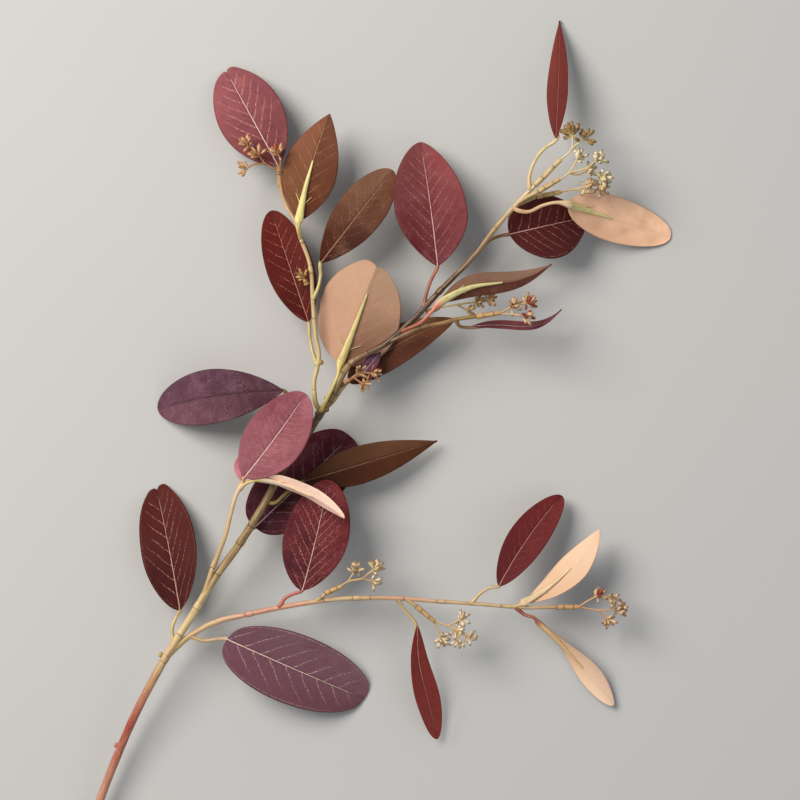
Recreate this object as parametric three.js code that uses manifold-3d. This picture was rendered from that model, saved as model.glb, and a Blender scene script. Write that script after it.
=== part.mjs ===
// A branch of seeded eucalyptus made as a florist's artificial spray: pressed fabric leaves on
// moulded plastic stems, with heads of small club-shaped buds.
// Millimetres, +Z up. The branch lies on the plane z = 0 and is looked at from above: +Y runs
// from the cut end towards the crown, and +X is to the right.
import * as THREE from 'three';
import { mergeVertices } from 'three/addons/utils/BufferGeometryUtils.js';
import Module from 'manifold-3d';

const wasm = await Module();
wasm.setup();

// ---- Driving dimensions ------------------------------------------------------------------
// Every place below is measured from the first fork of the stem, except that heights are above
// the plane the branch lies on. This is the fork's own place beside the middle of the branch.
const FORK = [-124.8, -95];

const JOINT_GAP = 0.3;          // between two stem pieces, end to end
const SAMPLES_PER_SPAN = 40;    // steps in which a route's length is measured between two points

const LEAF_THICKNESS = 0.6;
const LEAF_COLUMNS = 4;         // across a blade, an even number so that one line is the midrib
const LEAF_ROWS = 8;            // along a blade
const LEAF_NARROWEST = 0.7;     // half the width of a blade at its very ends
const RIB_CLEARANCE = 0.5;      // between a blade's back and the rib that carries it
const RIB_REACH = 0.56;         // how far along most blades the rib runs
const RIB_RADIUS = 1.8;         // at the base of the blade
const RIB_END_RADIUS = 0.35;
const RIB_TAPER = 0.8;          // below 1, the rib thins quickest near the base
const RIB_STATIONS = [0, 0.12, 0.3, 0.56, 1];
const STALK_RADIUS = 1.1;
const STALK_FLARE = 0.5;        // how much a leafstalk widens where it leaves its stem
const STALK_FLARE_END = 0.35;   // of the stalk's length, where that widening has died away
const STALK_SWELL_START = 0.75; // of the stalk's length, where it starts to swell into the rib
const STALK_SIDES = 5;
const STALK_STEP = 8;
const BARB_START = 0.1;         // along the blade, where the two side barbs leave the rib
const BARB_END = 0.24;
const BARB_SPREAD = 0.42;       // of the half width
const BARB_LIFT = 1.2;          // the barb's end below the middle of the blade's thickness
const BARB_RADII = [0.6, 0.25];
const BARB_SIDES = 4;

const STEM_SIDES = 8;
const STEM_STEP = 11;
const COLLAR_LENGTH = 5;
const COLLAR_RISE = 0.45;
const NUB_RADIUS = 1.7;          // small knobs on the stem
const NUB_SIDES = [6, 4];

const BUD_LENGTH = 7;
const BUD_RADIUS = 1.6;
const BUD_SEAT = 1;               // how deep a bud's neck starts inside the end of its stalk
const BUD_WIDEST = 0.66;          // of the bud's length, from its neck
const BUD_SPREAD = [0.25, 1.35];  // smallest and largest angle from the stalk's line, radians
const GOLDEN_ANGLE = 2.39996;
const TWIGLET_RADIUS = 0.6;       // the thin stalks inside a seed head
const TWIGLET_SIDES = 4;
const SLEEVE_RADII = [1.9, 1.5];

// ---- Routes of the stems -----------------------------------------------------------------
const MAIN_ROUTE = [
  [-81, -231, 3], [-72, -183, 5], [-58, -137, 8], [-42, -91, 11], [-22, -42, 16],
  [0, 0, 22],
  [11, 18, 24],
  [22, 35, 26],
  [34, 55, 28],
  [50, 77, 30],
  [65, 101, 31], [79, 126, 32], [90, 141, 33],
  [101, 159, 34],
  [109, 171, 34], [115, 183, 34],
  [122, 194, 34],
  [146, 208, 34], [162, 222, 34],
  [179, 240, 34],
  [204, 266, 34],
  [217, 283, 34],
  [234, 302, 34], [242, 310, 34],
];
const RIGHT_ROUTE = [
  [3, 4, 22], [16, 16, 23], [34, 26, 23],
  [54, 31, 24],
  [83, 37, 26], [109, 41, 27],
  [124, 42, 28],
  [153, 42, 28],
  [179, 40, 28],
  [207, 38, 27], [232, 36, 26],
  [257, 36, 24],
];
const LEFT_TWIG_ROUTE = [
  [24, 38, 26], [28, 47, 28],
  [33, 62, 31],
  [41, 82, 35], [45, 97, 38], [49, 110, 41], [53, 117, 42],
];
const UPPER_TWIG_ROUTE = [
  [103, 163, 34], [100, 169, 34],
  [99, 177, 34],
  [99, 184, 34], [101, 192, 34], [102, 201, 34], [100, 212, 34], [98, 236, 33],
  [97, 253, 32],
  [95, 263, 31], [90, 276, 30], [87, 286, 28.5], [80, 299, 25.5], [77, 310, 25], [76, 318, 25.5],
];
const BRANCHLET_ROUTE = [
  [146, 208, 34], [155, 212, 36],
  [168, 218, 38],
  [183, 221, 38], [190, 223, 38], [204, 225, 37],
];

// ---- Stem pieces -------------------------------------------------------------------------
// Each run is a stretch of one route between two of its points; radii are at its two ends.
// A collar is a short wider sleeve where the run begins, and nubs are small knobs. A run with
// places of its own is the short peg that a seed head's sleeve meets.
const STEMS = [
  { name: 'stem_foot', colour: '#8a5a3c',
    runs: [{ route: MAIN_ROUTE, from: 0, to: 5, radii: [2.8, 2.7] }],
    nubs: [[-31, -55, 15]] },
  { name: 'stem_first_fork', colour: '#a98a4e',
    runs: [
      { route: MAIN_ROUTE, from: 5, to: 7, radii: [2.6, 2.5], collar: true },
      { route: RIGHT_ROUTE, from: 0, to: 3, radii: [2.0, 1.7] }],
    nubs: [[-1.2, 4.8, 22.5]],
    leaves: ['leaf_lower_left', 'leaf_lower_right'] },
  { name: 'stem_second_fork', colour: '#a8904f',
    runs: [
      { route: MAIN_ROUTE, from: 7, to: 9, radii: [2.5, 2.5], collar: true },
      { route: LEFT_TWIG_ROUTE, from: 0, to: 2, radii: [1.8, 1.6] }] },
  { name: 'stem_left_twig', colour: '#b89a5c',
    runs: [{ route: LEFT_TWIG_ROUTE, from: 2, to: 6, radii: [1.6, 1.3], collar: true }],
    leaves: ['leaf_mid_pink', 'leaf_mid_small', 'leaf_mid_pale'] },
  { name: 'stem_middle', colour: '#9c8a4a',
    runs: [{ route: MAIN_ROUTE, from: 9, to: 13, radii: [2.6, 2.4], collar: true }],
    leaves: ['leaf_mid_behind', 'leaf_mid_right', 'leaf_mid_left'] },
  { name: 'stem_upper_fork', colour: '#a08a4c',
    runs: [
      { route: MAIN_ROUTE, from: 13, to: 16, radii: [2.3, 2.1], collar: true },
      { route: UPPER_TWIG_ROUTE, from: 0, to: 2, radii: [1.6, 1.5] },
      { route: [[103, 164, 33], [110, 170, 31], [115, 177, 30], [119, 182, 29]],
        from: 0, to: 3, radii: [2.2, 1.9] }],
    leaves: ['leaf_fork_round', 'leaf_fork_under', 'leaf_fork_small'] },
  { name: 'stem_shoulder', colour: '#94603c',
    runs: [
      { route: MAIN_ROUTE, from: 16, to: 19, radii: [2.1, 1.9], collar: true },
      { route: BRANCHLET_ROUTE, from: 0, to: 2, radii: [1.4, 1.3] }],
    leaves: ['leaf_crown_oval', 'leaf_crown_narrow'] },
  { name: 'stem_branchlet', colour: '#96683c',
    runs: [{ route: BRANCHLET_ROUTE, from: 2, to: 5, radii: [1.3, 1.2], collar: true }],
    leaves: ['leaf_crown_slim'] },
  { name: 'stem_crown', colour: '#8c6238',
    runs: [{ route: MAIN_ROUTE, from: 19, to: 21, radii: [1.8, 1.6], collar: true }],
    leaves: ['leaf_crown_under'] },
  { name: 'stem_crown_fork', colour: '#b08a50',
    runs: [
      { route: MAIN_ROUTE, from: 21, to: 23, radii: [1.6, 1.4] },
      { route: [[230, 298, 34], [238, 303, 35], [244, 306, 36]],
        from: 0, to: 2, radii: [1.4, 1.3] },
      { route: [[228, 296, 34], [236, 300, 31], [243, 303, 30]],
        from: 0, to: 2, radii: [1.4, 1.3] }],
    leaves: ['leaf_crown_side', 'leaf_crown_tip'] },
  { name: 'stem_upper_twig', colour: '#b8ad62',
    runs: [{ route: UPPER_TWIG_ROUTE, from: 2, to: 8, radii: [1.5, 1.3] }],
    nubs: [[103.5, 195.5, 34.5]],
    leaves: ['leaf_fork_left', 'leaf_twig_right'] },
  { name: 'stem_twig_end', colour: '#b8a864',
    runs: [{ route: UPPER_TWIG_ROUTE, from: 8, to: 14, radii: [1.3, 1.1], collar: true }],
    leaves: ['leaf_twig_front', 'leaf_twig_end'] },
  { name: 'stem_branch_inner', colour: '#a3904f',
    runs: [
      { route: RIGHT_ROUTE, from: 3, to: 6, radii: [1.7, 1.5], collar: true },
      { route: [[99, 39.5, 26.5], [103, 42, 28], [106, 45, 29.5]],
        from: 0, to: 2, radii: [1.3, 1.2] }],
    leaves: ['leaf_branch_first'] },
  { name: 'stem_branch_middle', colour: '#a8804e',
    runs: [
      { route: RIGHT_ROUTE, from: 6, to: 8, radii: [1.5, 1.3], collar: true },
      { route: [[158, 42, 28], [162, 39, 28.5], [165, 37, 29]],
        from: 0, to: 2, radii: [1.2, 1.1] }],
    leaves: ['leaf_branch_hanging'] },
  { name: 'stem_branch_outer', colour: '#a8905a',
    runs: [{ route: RIGHT_ROUTE, from: 8, to: 11, radii: [1.3, 1.2], collar: true }],
    leaves: ['leaf_branch_upright', 'leaf_branch_pale', 'leaf_branch_end'] },
];

// ---- Leaves ------------------------------------------------------------------------------
// An outline is widest at peak (0 at the base, 1 at the tip); larger powers make sharper ends.
const OUTLINES = {
  oval: { peak: 0.48, base: 0.62, tip: 0.5 },
  egg: { peak: 0.42, base: 0.72, tip: 0.6 },
  rhomb: { peak: 0.45, base: 0.8, tip: 0.85 },
  lance: { peak: 0.4, base: 0.7, tip: 0.95 },
  blunt: { peak: 0.55, base: 0.75, tip: 0.5 },
  broad: { peak: 0.5, base: 0.6, tip: 0.42 },
  full: { peak: 0.48, base: 0.36, tip: 0.38 },
  round: { peak: 0.48, base: 0.45, tip: 0.42 },
  heart: { peak: 0.42, base: 0.5, tip: 0.75 },
  spoon: { peak: 0.62, base: 0.7, tip: 0.55 },
  paddle: { peak: 0.55, base: 0.9, tip: 0.75 },
};
// base and tip are the blade's two ends. roll turns the blade about the line between them: 0
// shows its printed front to +Z and 180 its back; twist is how much more it turns from end to
// end. fold bends the two halves towards the front. bow lifts the middle towards the front and
// sway moves it to the blade's own right. skew moves the widest part of the right half towards
// the tip and that of the left half towards the base. wave, where given, moves the half next to
// the base to the right and the half next to the tip to the left. reach, where given, is how far
// along the blade its rib runs. stalk is the leafstalk's way from its stem to the blade's base.
const LEAVES = {
  leaf_lower_left: { base: [11, 34, 23], tip: [-6, 113, 1], width: 37, roll: 0, twist: 0,
    fold: 6, bow: 4, sway: 1, skew: 3,
    outline: 'broad', colour: '#5a1c22',
    stalk: [[7, 13, 23], [6, 22, 22], [9, 30, 21]] },
  leaf_lower_right: { base: [42, 15, 24], tip: [131, -26, 1], width: 47, roll: 0, twist: 0,
    fold: 4, bow: 4, sway: 0, skew: -4.5,
    outline: 'full', colour: '#57293f',
    stalk: [[18, 17, 23], [26, 14, 23], [36, 15, 22]] },
  leaf_branch_first: { base: [91, 47, 29], tip: [108, 119, 29], width: 42, roll: 0, twist: 0,
    fold: 6, bow: 3, sway: 1, skew: 2,
    outline: 'oval', colour: '#6a2630',
    stalk: [[76, 36, 26], [80, 42, 27], [86, 45, 27]] },
  leaf_branch_hanging: { base: [166, 24, 25], tip: [179, -52, 6], width: 19, roll: 35, twist: 0,
    fold: 4, bow: 1, sway: 3.7, skew: 0, wave: 1.2,
    outline: 'spoon', colour: '#6b2326',
    stalk: [[153, 42, 28], [157, 35, 27], [163, 28, 25]] },
  leaf_branch_upright: { base: [219, 50, 27], tip: [261, 108, 8], width: 25, roll: 10, twist: 0,
    fold: 8, bow: 3, sway: -2, skew: 0,
    outline: 'oval', colour: '#642029',
    stalk: [[201, 38, 27], [207, 45, 27], [214, 49, 26]] },
  leaf_branch_pale: { base: [235, 38, 25], tip: [285, 86, 22], width: 22, roll: 215, twist: 0,
    fold: 8, bow: 3, sway: -4, skew: 0,
    outline: 'paddle', colour: '#e0b896',
    stalk: [[226, 36.5, 26], [231, 37, 27]] },
  leaf_branch_end: { base: [247, 26, 18], tip: [295, -30, 4.4], width: 16, roll: 140, twist: 110,
    fold: 8, bow: 2, sway: 0, skew: 0,
    outline: 'spoon', colour: '#e2b795',
    stalk: [[230, 36, 26], [236, 31, 24], [242, 29, 22]] },
  leaf_mid_pink: { base: [54, 121, 46], tip: [94, 175, 47], width: 39, roll: 0, twist: 0,
    fold: 6, bow: 3, sway: 1, skew: 0,
    outline: 'oval', colour: '#954d5a',
    stalk: [[53, 116, 41.5], [53.5, 119, 42.5]] },
  leaf_mid_small: { base: [53, 118.5, 40], tip: [53.5, 136, 35], width: 12, roll: 0, twist: 0,
    fold: 6, bow: 1, sway: 0, skew: 0,
    outline: 'oval', colour: '#a05a66',
    stalk: [[51, 113, 41], [51, 117, 39]] },
  leaf_mid_pale: { base: [66, 121, 44], tip: [119, 95, 49], width: 18, roll: 120, twist: 0,
    fold: 10, bow: 4, sway: 0, skew: 0,
    outline: 'full', colour: '#ecc4a4',
    stalk: [[51, 113, 41], [55, 117, 43], [60, 119, 45]] },
  leaf_mid_behind: { base: [60, 88, 24], tip: [122, 147, 5], width: 48, roll: 0, twist: 0,
    fold: 6, bow: 1, sway: 0, skew: 2,
    outline: 'full', colour: '#3d1420',
    stalk: [[56, 87, 29], [57.5, 87.2, 22]] },
  leaf_mid_right: { base: [92, 118, 26], tip: [179, 144, 9], width: 25, roll: -8, twist: 0,
    fold: 6, bow: 1, sway: 0, skew: 0,
    outline: 'lance', colour: '#5c3a26',
    stalk: [[67, 105, 31], [73, 104, 29], [79, 109, 26], [85, 114, 23.5]] },
  leaf_mid_left: { base: [79, 177, 39], tip: [-5, 165, 1], width: 36, roll: 0, twist: 0,
    fold: 6, bow: 5, sway: 3, skew: 0,
    outline: 'blunt', colour: '#4c2c3c',
    stalk: [[91, 143, 33], [88, 155, 34], [84, 169, 36]] },
  leaf_fork_round: { base: [116, 195, 30], tip: [140, 257, 39], width: 56, roll: 180, twist: 0,
    fold: 10, bow: 4, sway: 0, skew: 3, reach: 0.72,
    outline: 'round', colour: '#8a6450',
    stalk: [[103, 163, 35], [109, 175, 37], [114, 186, 35]] },
  leaf_fork_under: { base: [121, 183, 23], tip: [191, 224, 19], width: 25, roll: 0, twist: 0,
    fold: 6, bow: 0, sway: -4.5, skew: 0,
    outline: 'heart', colour: '#5a3424',
    stalk: [[115, 177, 30], [117, 179.5, 25], [118.5, 181, 21]] },
  leaf_fork_small: { base: [130, 188, 32], tip: [142, 202, 30.8], width: 9, roll: 0, twist: 0,
    fold: 6, bow: 1, sway: 0, skew: 0,
    outline: 'rhomb', colour: '#7c5468',
    stalk: [[116, 179, 30], [122, 184, 30.5], [126.5, 186.7, 29.8]] },
  leaf_fork_left: { base: [95, 222, 28], tip: [70, 295, 13], width: 31, roll: 0, twist: 0,
    fold: 8, bow: 1.5, sway: 0, skew: 0,
    outline: 'oval', colour: '#4f151c',
    stalk: [[101, 193, 34], [98, 202, 31], [96, 211, 27.5]] },
  leaf_twig_right: { base: [103, 260, 31], tip: [150, 321, 20], width: 31, roll: 0, twist: 0,
    fold: 5, bow: 3, sway: 0, skew: 0,
    outline: 'blunt', colour: '#6c4430',
    stalk: [[98, 236, 33], [101.5, 244, 32], [103, 252, 29.5]] },
  leaf_twig_front: { base: [89, 287, 34], tip: [109, 357, 28], width: 36, roll: 180, twist: 0,
    fold: 10, bow: 3, sway: 2.3, skew: 0,
    outline: 'rhomb', colour: '#7a4a34',
    stalk: [[90, 276, 30], [89.5, 280, 34], [89, 284, 36.5]] },
  leaf_twig_end: { base: [75, 324, 23.5], tip: [40, 388, 1], width: 44, roll: 0, twist: 0,
    fold: 6, bow: 4, sway: 0, skew: 0,
    outline: 'oval', colour: '#6e3039',
    stalk: [[76.5, 311, 24], [75.5, 317, 21.2]] },
  leaf_crown_oval: { base: [179, 258, 35], tip: [168, 340, 12], width: 47.5, roll: 0, twist: 0,
    fold: 8, bow: 4, sway: 0.7, skew: -3,
    outline: 'egg', colour: '#622a38',
    stalk: [[170, 230, 34], [172, 241, 34], [175, 249, 33]] },
  leaf_crown_narrow: { base: [180, 234, 40], tip: [253, 259, 34], width: 16, roll: 160, twist: 0,
    fold: 8, bow: 1, sway: 0, skew: 0, wave: 3,
    outline: 'lance', colour: '#85584a',
    stalk: [[155, 215, 34], [162, 218, 38], [168, 221, 41], [174, 227, 42]] },
  leaf_crown_slim: { base: [202, 219, 31], tip: [260, 230, 26], width: 10, roll: 50, twist: 0,
    fold: 8, bow: -3, sway: 5.5, skew: 0, wave: -3.7,
    outline: 'lance', colour: '#6e3c48',
    stalk: [[191, 223, 38], [193, 219, 36], [197, 218, 33]] },
  leaf_crown_under: { base: [226, 279, 25], tip: [277, 291, 14], width: 45, roll: 0, twist: 0,
    fold: 8, bow: 3, sway: 0, skew: 4,
    outline: 'heart', colour: '#3f1a20',
    stalk: [[204, 266, 34], [212, 274, 30], [220, 278, 24.5]] },
  leaf_crown_side: { base: [264, 298, 33], tip: [333, 279, 1], width: 30, roll: 180, twist: 0,
    fold: 6, bow: 4, sway: 0, skew: 0, reach: 0.45,
    outline: 'round', colour: '#c89878',
    stalk: [[228, 296, 34], [231, 294, 35], [238, 293, 36], [247, 297, 36], [256, 299, 36]] },
  leaf_crown_tip: { base: [256, 341, 32], tip: [260, 421, 1.2], width: 15.5, roll: 30, twist: 0,
    fold: 8, bow: 1, sway: 1, skew: 0,
    outline: 'lance', colour: '#682327',
    stalk: [[239, 307, 34], [238.5, 315, 34], [242, 326, 33], [248, 334, 31]] },
};

// ---- Seed heads --------------------------------------------------------------------------
// sleeve is the thick part that sits on the stem's peg; each stalk ends in a cluster of buds,
// and a stalk with no buds only leads to others.
const SEED_HEADS = {
  seed_head_twig: { colour: '#c08a50', sleeve: [[76, 318.5, 25.8], [76, 321, 27]],
    stalks: [
      { way: [[76, 320, 26.5], [67, 325, 28], [62, 331, 31]], buds: 5 },
      { way: [[62, 330, 30], [55, 338, 31]], buds: 6 },
      { way: [[67, 325, 28], [59, 324, 28], [54, 321, 28]], buds: 3 },
      { way: [[76, 320, 26.5], [77, 326, 29], [75, 332, 31]], buds: 6 }] },
  seed_head_twig_inner: { colour: '#b08848', sleeve: [[94.2, 246, 33], [93, 249, 34]],
    stalks: [
      { way: [[93.4, 248, 33.7], [91.6, 251.5, 34.5]], buds: 4 }] },
  seed_head_crown_left: { colour: '#a8884a', sleeve: [[242.3, 310.3, 34], [259, 327, 36]],
    stalks: [
      { way: [[258, 326, 36], [266, 334, 37], [266, 344, 38]], buds: 7 },
      { way: [[266, 334, 37], [275, 341, 37]], buds: 4 }] },
  seed_head_crown_middle: { colour: '#c8ac70', sleeve: [[244.4, 306.2, 36], [258, 314, 37]],
    stalks: [
      { way: [[257, 313, 37], [264, 318, 38], [270, 328, 39]], buds: 6 },
      { way: [[264, 318, 38], [275, 321, 39], [283, 327, 38]], buds: 5 },
      { way: [[275, 321, 39], [286, 315, 38]], buds: 6 },
      { way: [[264, 318, 38], [270, 317, 36], [277, 320, 35]], buds: 5 }] },
  seed_head_crown_right: { colour: '#b89858', sleeve: [[243.4, 303.2, 30], [259, 306, 30]],
    stalks: [
      { way: [[258, 306, 30], [268, 308, 31], [277, 310, 32]], buds: 5 },
      { way: [[268, 308, 31], [277, 306, 31], [285, 308, 31]], buds: 6 }] },
  seed_head_shoulder: { colour: '#c0a868', sleeve: [[172, 227.5, 31.5], [180, 231, 31]],
    stalks: [
      { way: [[179, 231, 31], [192, 233, 29], [205, 235, 28]], buds: 6 },
      { way: [[205, 235, 28], [213, 237, 27]], buds: 4 },
      { way: [[192, 233, 29], [199, 229, 28]], buds: 2 }] },
  seed_head_branchlet: { colour: '#b89058', sleeve: [[204.3, 225, 37], [220, 227.5, 38]],
    stalks: [
      { way: [[219, 227, 38], [228, 232, 41]], buds: 5 },
      { way: [[228, 232, 41], [238, 234, 42]], buds: 7 },
      { way: [[219, 227, 38], [230, 226, 43], [236, 225, 44]], buds: 5 }] },
  seed_head_fork: { colour: '#a0683c', sleeve: [[119.2, 182.2, 35], [122, 184, 37]],
    stalks: [
      { way: [[121, 183, 36], [128, 189, 40]], buds: 3 },
      { way: [[128, 189, 40], [138, 188, 41]], buds: 6 },
      { way: [[124, 186, 38], [131, 181, 40]], buds: 4 }] },
  seed_head_branch_upper: { colour: '#b89460', sleeve: [[106.3, 45.3, 29.6], [117, 50, 31]],
    stalks: [
      { way: [[116, 50, 31], [121, 53, 32], [130, 55, 33]], buds: 0 },
      { way: [[121, 53, 32], [126, 61, 33]], buds: 5 },
      { way: [[130, 55, 33], [139, 62, 34]], buds: 7 },
      { way: [[130, 55, 33], [138, 53, 32]], buds: 3 }] },
  seed_head_branch_lower: { colour: '#c09c68', sleeve: [[165.2, 36.8, 29], [177, 27, 28]],
    stalks: [
      { way: [[176, 28, 28], [182, 15, 27]], buds: 5 },
      { way: [[176, 27, 28], [186, 24, 28], [192, 21, 28]], buds: 3 },
      { way: [[186, 24, 28], [195, 29, 29]], buds: 4 },
      { way: [[192, 21, 28], [200, 17, 28]], buds: 4 },
      { way: [[192, 21, 28], [193, 14, 27]], buds: 3 }] },
  seed_head_branch_end: { colour: '#a06848', sleeve: [[257.3, 36, 24], [272, 36, 24]],
    stalks: [
      { way: [[271, 36, 24], [277, 40, 25], [284, 44, 26]], buds: 5 },
      { way: [[284, 44, 26], [293, 42, 26]], buds: 3 },
      { way: [[271, 36, 24], [284, 34, 23], [298, 34, 23]], buds: 7 },
      { way: [[284, 34, 23], [291, 27, 22]], buds: 4 }] },
};

// ---- Solids ------------------------------------------------------------------------------
const vectors = (places) => places.map(([x, y, z]) => new THREE.Vector3(x, y, z));

const smoothRoute = (places) => new THREE.CatmullRomCurve3(vectors(places), false, 'centripetal');

// How far along a smooth route one of its points lies, from 0 to 1.
function fractionAt(route, index) {
  const spans = route.points.length - 1;
  const lengths = route.getLengths(SAMPLES_PER_SPAN * spans);
  return lengths[SAMPLES_PER_SPAN * index] / lengths[SAMPLES_PER_SPAN * spans];
}

// The stretch of a route between two fractions of its length, as a curve of its own.
class Stretch extends THREE.Curve {
  constructor(route, from, to) {
    super();
    this.route = route;
    this.from = from;
    this.to = to;
  }

  getPoint(t, target) {
    return this.route.getPointAt(THREE.MathUtils.lerp(this.from, this.to, t), target);
  }
}

// A closed solid whose shared corners are merged, ready to be joined to others.
function solid(geometry) {
  geometry.deleteAttribute('normal');
  geometry.deleteAttribute('uv');
  const merged = mergeVertices(geometry, 1e-4);
  return new wasm.Manifold(new wasm.Mesh({
    numProp: 3,
    vertProperties: merged.attributes.position.array,
    triVerts: merged.index.array,
  }));
}

// A round bar along a curve; radiusAt takes the fraction of its length.
function bar(curve, radiusAt, sides, step) {
  const rings = Math.max(1, Math.round(curve.getLength() / step));
  const frames = curve.computeFrenetFrames(rings, false);
  const geometry = new THREE.CylinderGeometry(1, 1, 1, sides, rings);
  const place = geometry.attributes.position;
  for (let i = 0; i < place.count; i += 1) {
    const ring = Math.round((place.getY(i) + 0.5) * rings);
    const radius = radiusAt(ring / rings);
    const point = curve.getPointAt(ring / rings)
      .addScaledVector(frames.binormals[ring], place.getX(i) * radius)
      .addScaledVector(frames.normals[ring], place.getZ(i) * radius);
    place.setXYZ(i, point.x, point.y, point.z);
  }
  return solid(geometry);
}

const taper = (radii) => (t) => THREE.MathUtils.lerp(radii[0], radii[1], t);

const joined = (solids) => solids.reduce((whole, piece) => whole.add(piece));

// The blade's own directions: along it, out of its printed front, and to its right.
function bladeFrame(leaf, t) {
  const [base, tip] = vectors([leaf.base, leaf.tip]);
  const along = tip.clone().sub(base).normalize();
  const up = new THREE.Vector3(0, 0, 1);
  const front = up.addScaledVector(along, -along.z).normalize();
  const roll = THREE.MathUtils.degToRad(leaf.roll + leaf.twist * (t - 0.5));
  front.applyAxisAngle(along, -roll);
  return { base, tip, along, front, right: along.clone().cross(front) };
}

function outlineAt(outline, t) {
  const quarter = Math.PI / 2;
  if (t < outline.peak) return Math.sin(quarter * t / outline.peak) ** outline.base;
  return Math.cos(quarter * (t - outline.peak) / (1 - outline.peak)) ** outline.tip;
}

// A point of the blade: t from base to tip, v from -1 to 1 across, lift out of the front.
function bladePoint(leaf, t, v, lift) {
  const { base, tip, along, front, right } = bladeFrame(leaf, t);
  const straight = bladeFrame(leaf, 0.5);
  const arc = 4 * t * (1 - t);
  const breadth = outlineAt(OUTLINES[leaf.outline], t);
  const half = Math.max(LEAF_NARROWEST, breadth * leaf.width / 2);
  const fold = THREE.MathUtils.degToRad(leaf.fold);
  return base.lerp(tip, t)
    .addScaledVector(along, leaf.skew * breadth * v)
    .addScaledVector(straight.front, leaf.bow * arc)
    .addScaledVector(straight.right, leaf.sway * arc + (leaf.wave ?? 0) * Math.sin(2 * Math.PI * t))
    .addScaledVector(right, half * v * Math.cos(fold) - Math.sign(v) * lift * Math.sin(fold))
    .addScaledVector(front, half * Math.abs(v) * Math.sin(fold) + lift * Math.cos(fold));
}

function blade(leaf) {
  const geometry = new THREE.BoxGeometry(2, 1, LEAF_THICKNESS, LEAF_COLUMNS, LEAF_ROWS, 1);
  const place = geometry.attributes.position;
  for (let i = 0; i < place.count; i += 1) {
    const t = (1 - Math.cos(Math.PI * (place.getY(i) + 0.5))) / 2;
    const point = bladePoint(leaf, t, place.getX(i), place.getZ(i));
    place.setXYZ(i, point.x, point.y, point.z);
  }
  return solid(geometry);
}

// A leafstalk, the rib that it becomes under the blade's back, and the rib's two barbs.
function leafstalk(leaf) {
  const ribRadius = (q) => THREE.MathUtils.lerp(RIB_RADIUS, RIB_END_RADIUS, q ** RIB_TAPER);
  const reach = leaf.reach ?? RIB_REACH;
  const under = (q) => bladePoint(
    leaf, reach * q, 0, -(LEAF_THICKNESS / 2 + RIB_CLEARANCE + ribRadius(q)));
  const ribPlaces = RIB_STATIONS.map((q) => under(q).toArray());
  const route = smoothRoute([...leaf.stalk, ...ribPlaces]);
  const ribStart = fractionAt(route, leaf.stalk.length);
  const radiusAt = (t) => {
    if (t > ribStart) return ribRadius((t - ribStart) / (1 - ribStart));
    const swell = THREE.MathUtils.smoothstep(t, STALK_SWELL_START * ribStart, ribStart);
    const flare = 1 - THREE.MathUtils.smoothstep(t, 0, STALK_FLARE_END * ribStart);
    return THREE.MathUtils.lerp(STALK_RADIUS, RIB_RADIUS, swell) + STALK_FLARE * flare;
  };
  const barbs = [-1, 1].map((side) => {
    const start = under(BARB_START / reach);
    const end = bladePoint(leaf, BARB_END, side * BARB_SPREAD, -BARB_LIFT);
    const line = new THREE.LineCurve3(start, end);
    return bar(line, taper(BARB_RADII), BARB_SIDES, line.getLength());
  });
  return joined([bar(route, radiusAt, STALK_SIDES, STALK_STEP), ...barbs]);
}

// One run of a stem, shortened at both ends by half of the gap to its neighbours.
function stemRun(run) {
  const route = smoothRoute(run.route);
  const halfGap = JOINT_GAP / 2 / route.getLength();
  const from = fractionAt(route, run.from) + halfGap;
  const to = fractionAt(route, run.to) - halfGap;
  const whole = bar(new Stretch(route, from, to), taper(run.radii), STEM_SIDES, STEM_STEP);
  if (!run.collar) return whole;
  const sleeve = new Stretch(route, from, from + COLLAR_LENGTH / route.getLength());
  const radius = run.radii[0] + COLLAR_RISE;
  return whole.add(bar(sleeve, () => radius, STEM_SIDES, COLLAR_LENGTH));
}

function stemPiece(stem) {
  const nubs = (stem.nubs ?? []).map(([x, y, z]) => {
    const nub = new THREE.SphereGeometry(NUB_RADIUS, ...NUB_SIDES);
    nub.translate(x, y, z);
    return solid(nub);
  });
  const stalks = (stem.leaves ?? []).map((name) => leafstalk(LEAVES[name]));
  return joined([...stem.runs.map(stemRun), ...nubs, ...stalks]);
}

// One bud: a slim neck that widens to a club, pointing along a direction.
function bud(start, direction) {
  const geometry = new THREE.OctahedronGeometry(1);
  const place = geometry.attributes.position;
  for (let i = 0; i < place.count; i += 1) {
    const [x, y, z] = [place.getX(i), place.getY(i), place.getZ(i)];
    const height = [0, BUD_WIDEST, 1][Math.round(y) + 1];
    place.setXYZ(i, x * BUD_RADIUS, height * BUD_LENGTH, z * BUD_RADIUS);
  }
  const turn = new THREE.Quaternion().setFromUnitVectors(new THREE.Vector3(0, 1, 0), direction);
  geometry.applyQuaternion(turn);
  geometry.translate(start.x, start.y, start.z);
  return solid(geometry);
}

// Buds spread in a spiral around the line in which their stalk ends.
function budCluster(centre, axis, count) {
  const side = new THREE.Vector3(0, 0, 1).cross(axis).normalize();
  return Array.from({ length: count }, (_, i) => {
    const lean = THREE.MathUtils.lerp(BUD_SPREAD[0], BUD_SPREAD[1], (i + 0.5) / count);
    const direction = axis.clone()
      .applyAxisAngle(side, lean)
      .applyAxisAngle(axis, GOLDEN_ANGLE * i);
    return bud(centre, direction);
  });
}

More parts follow.
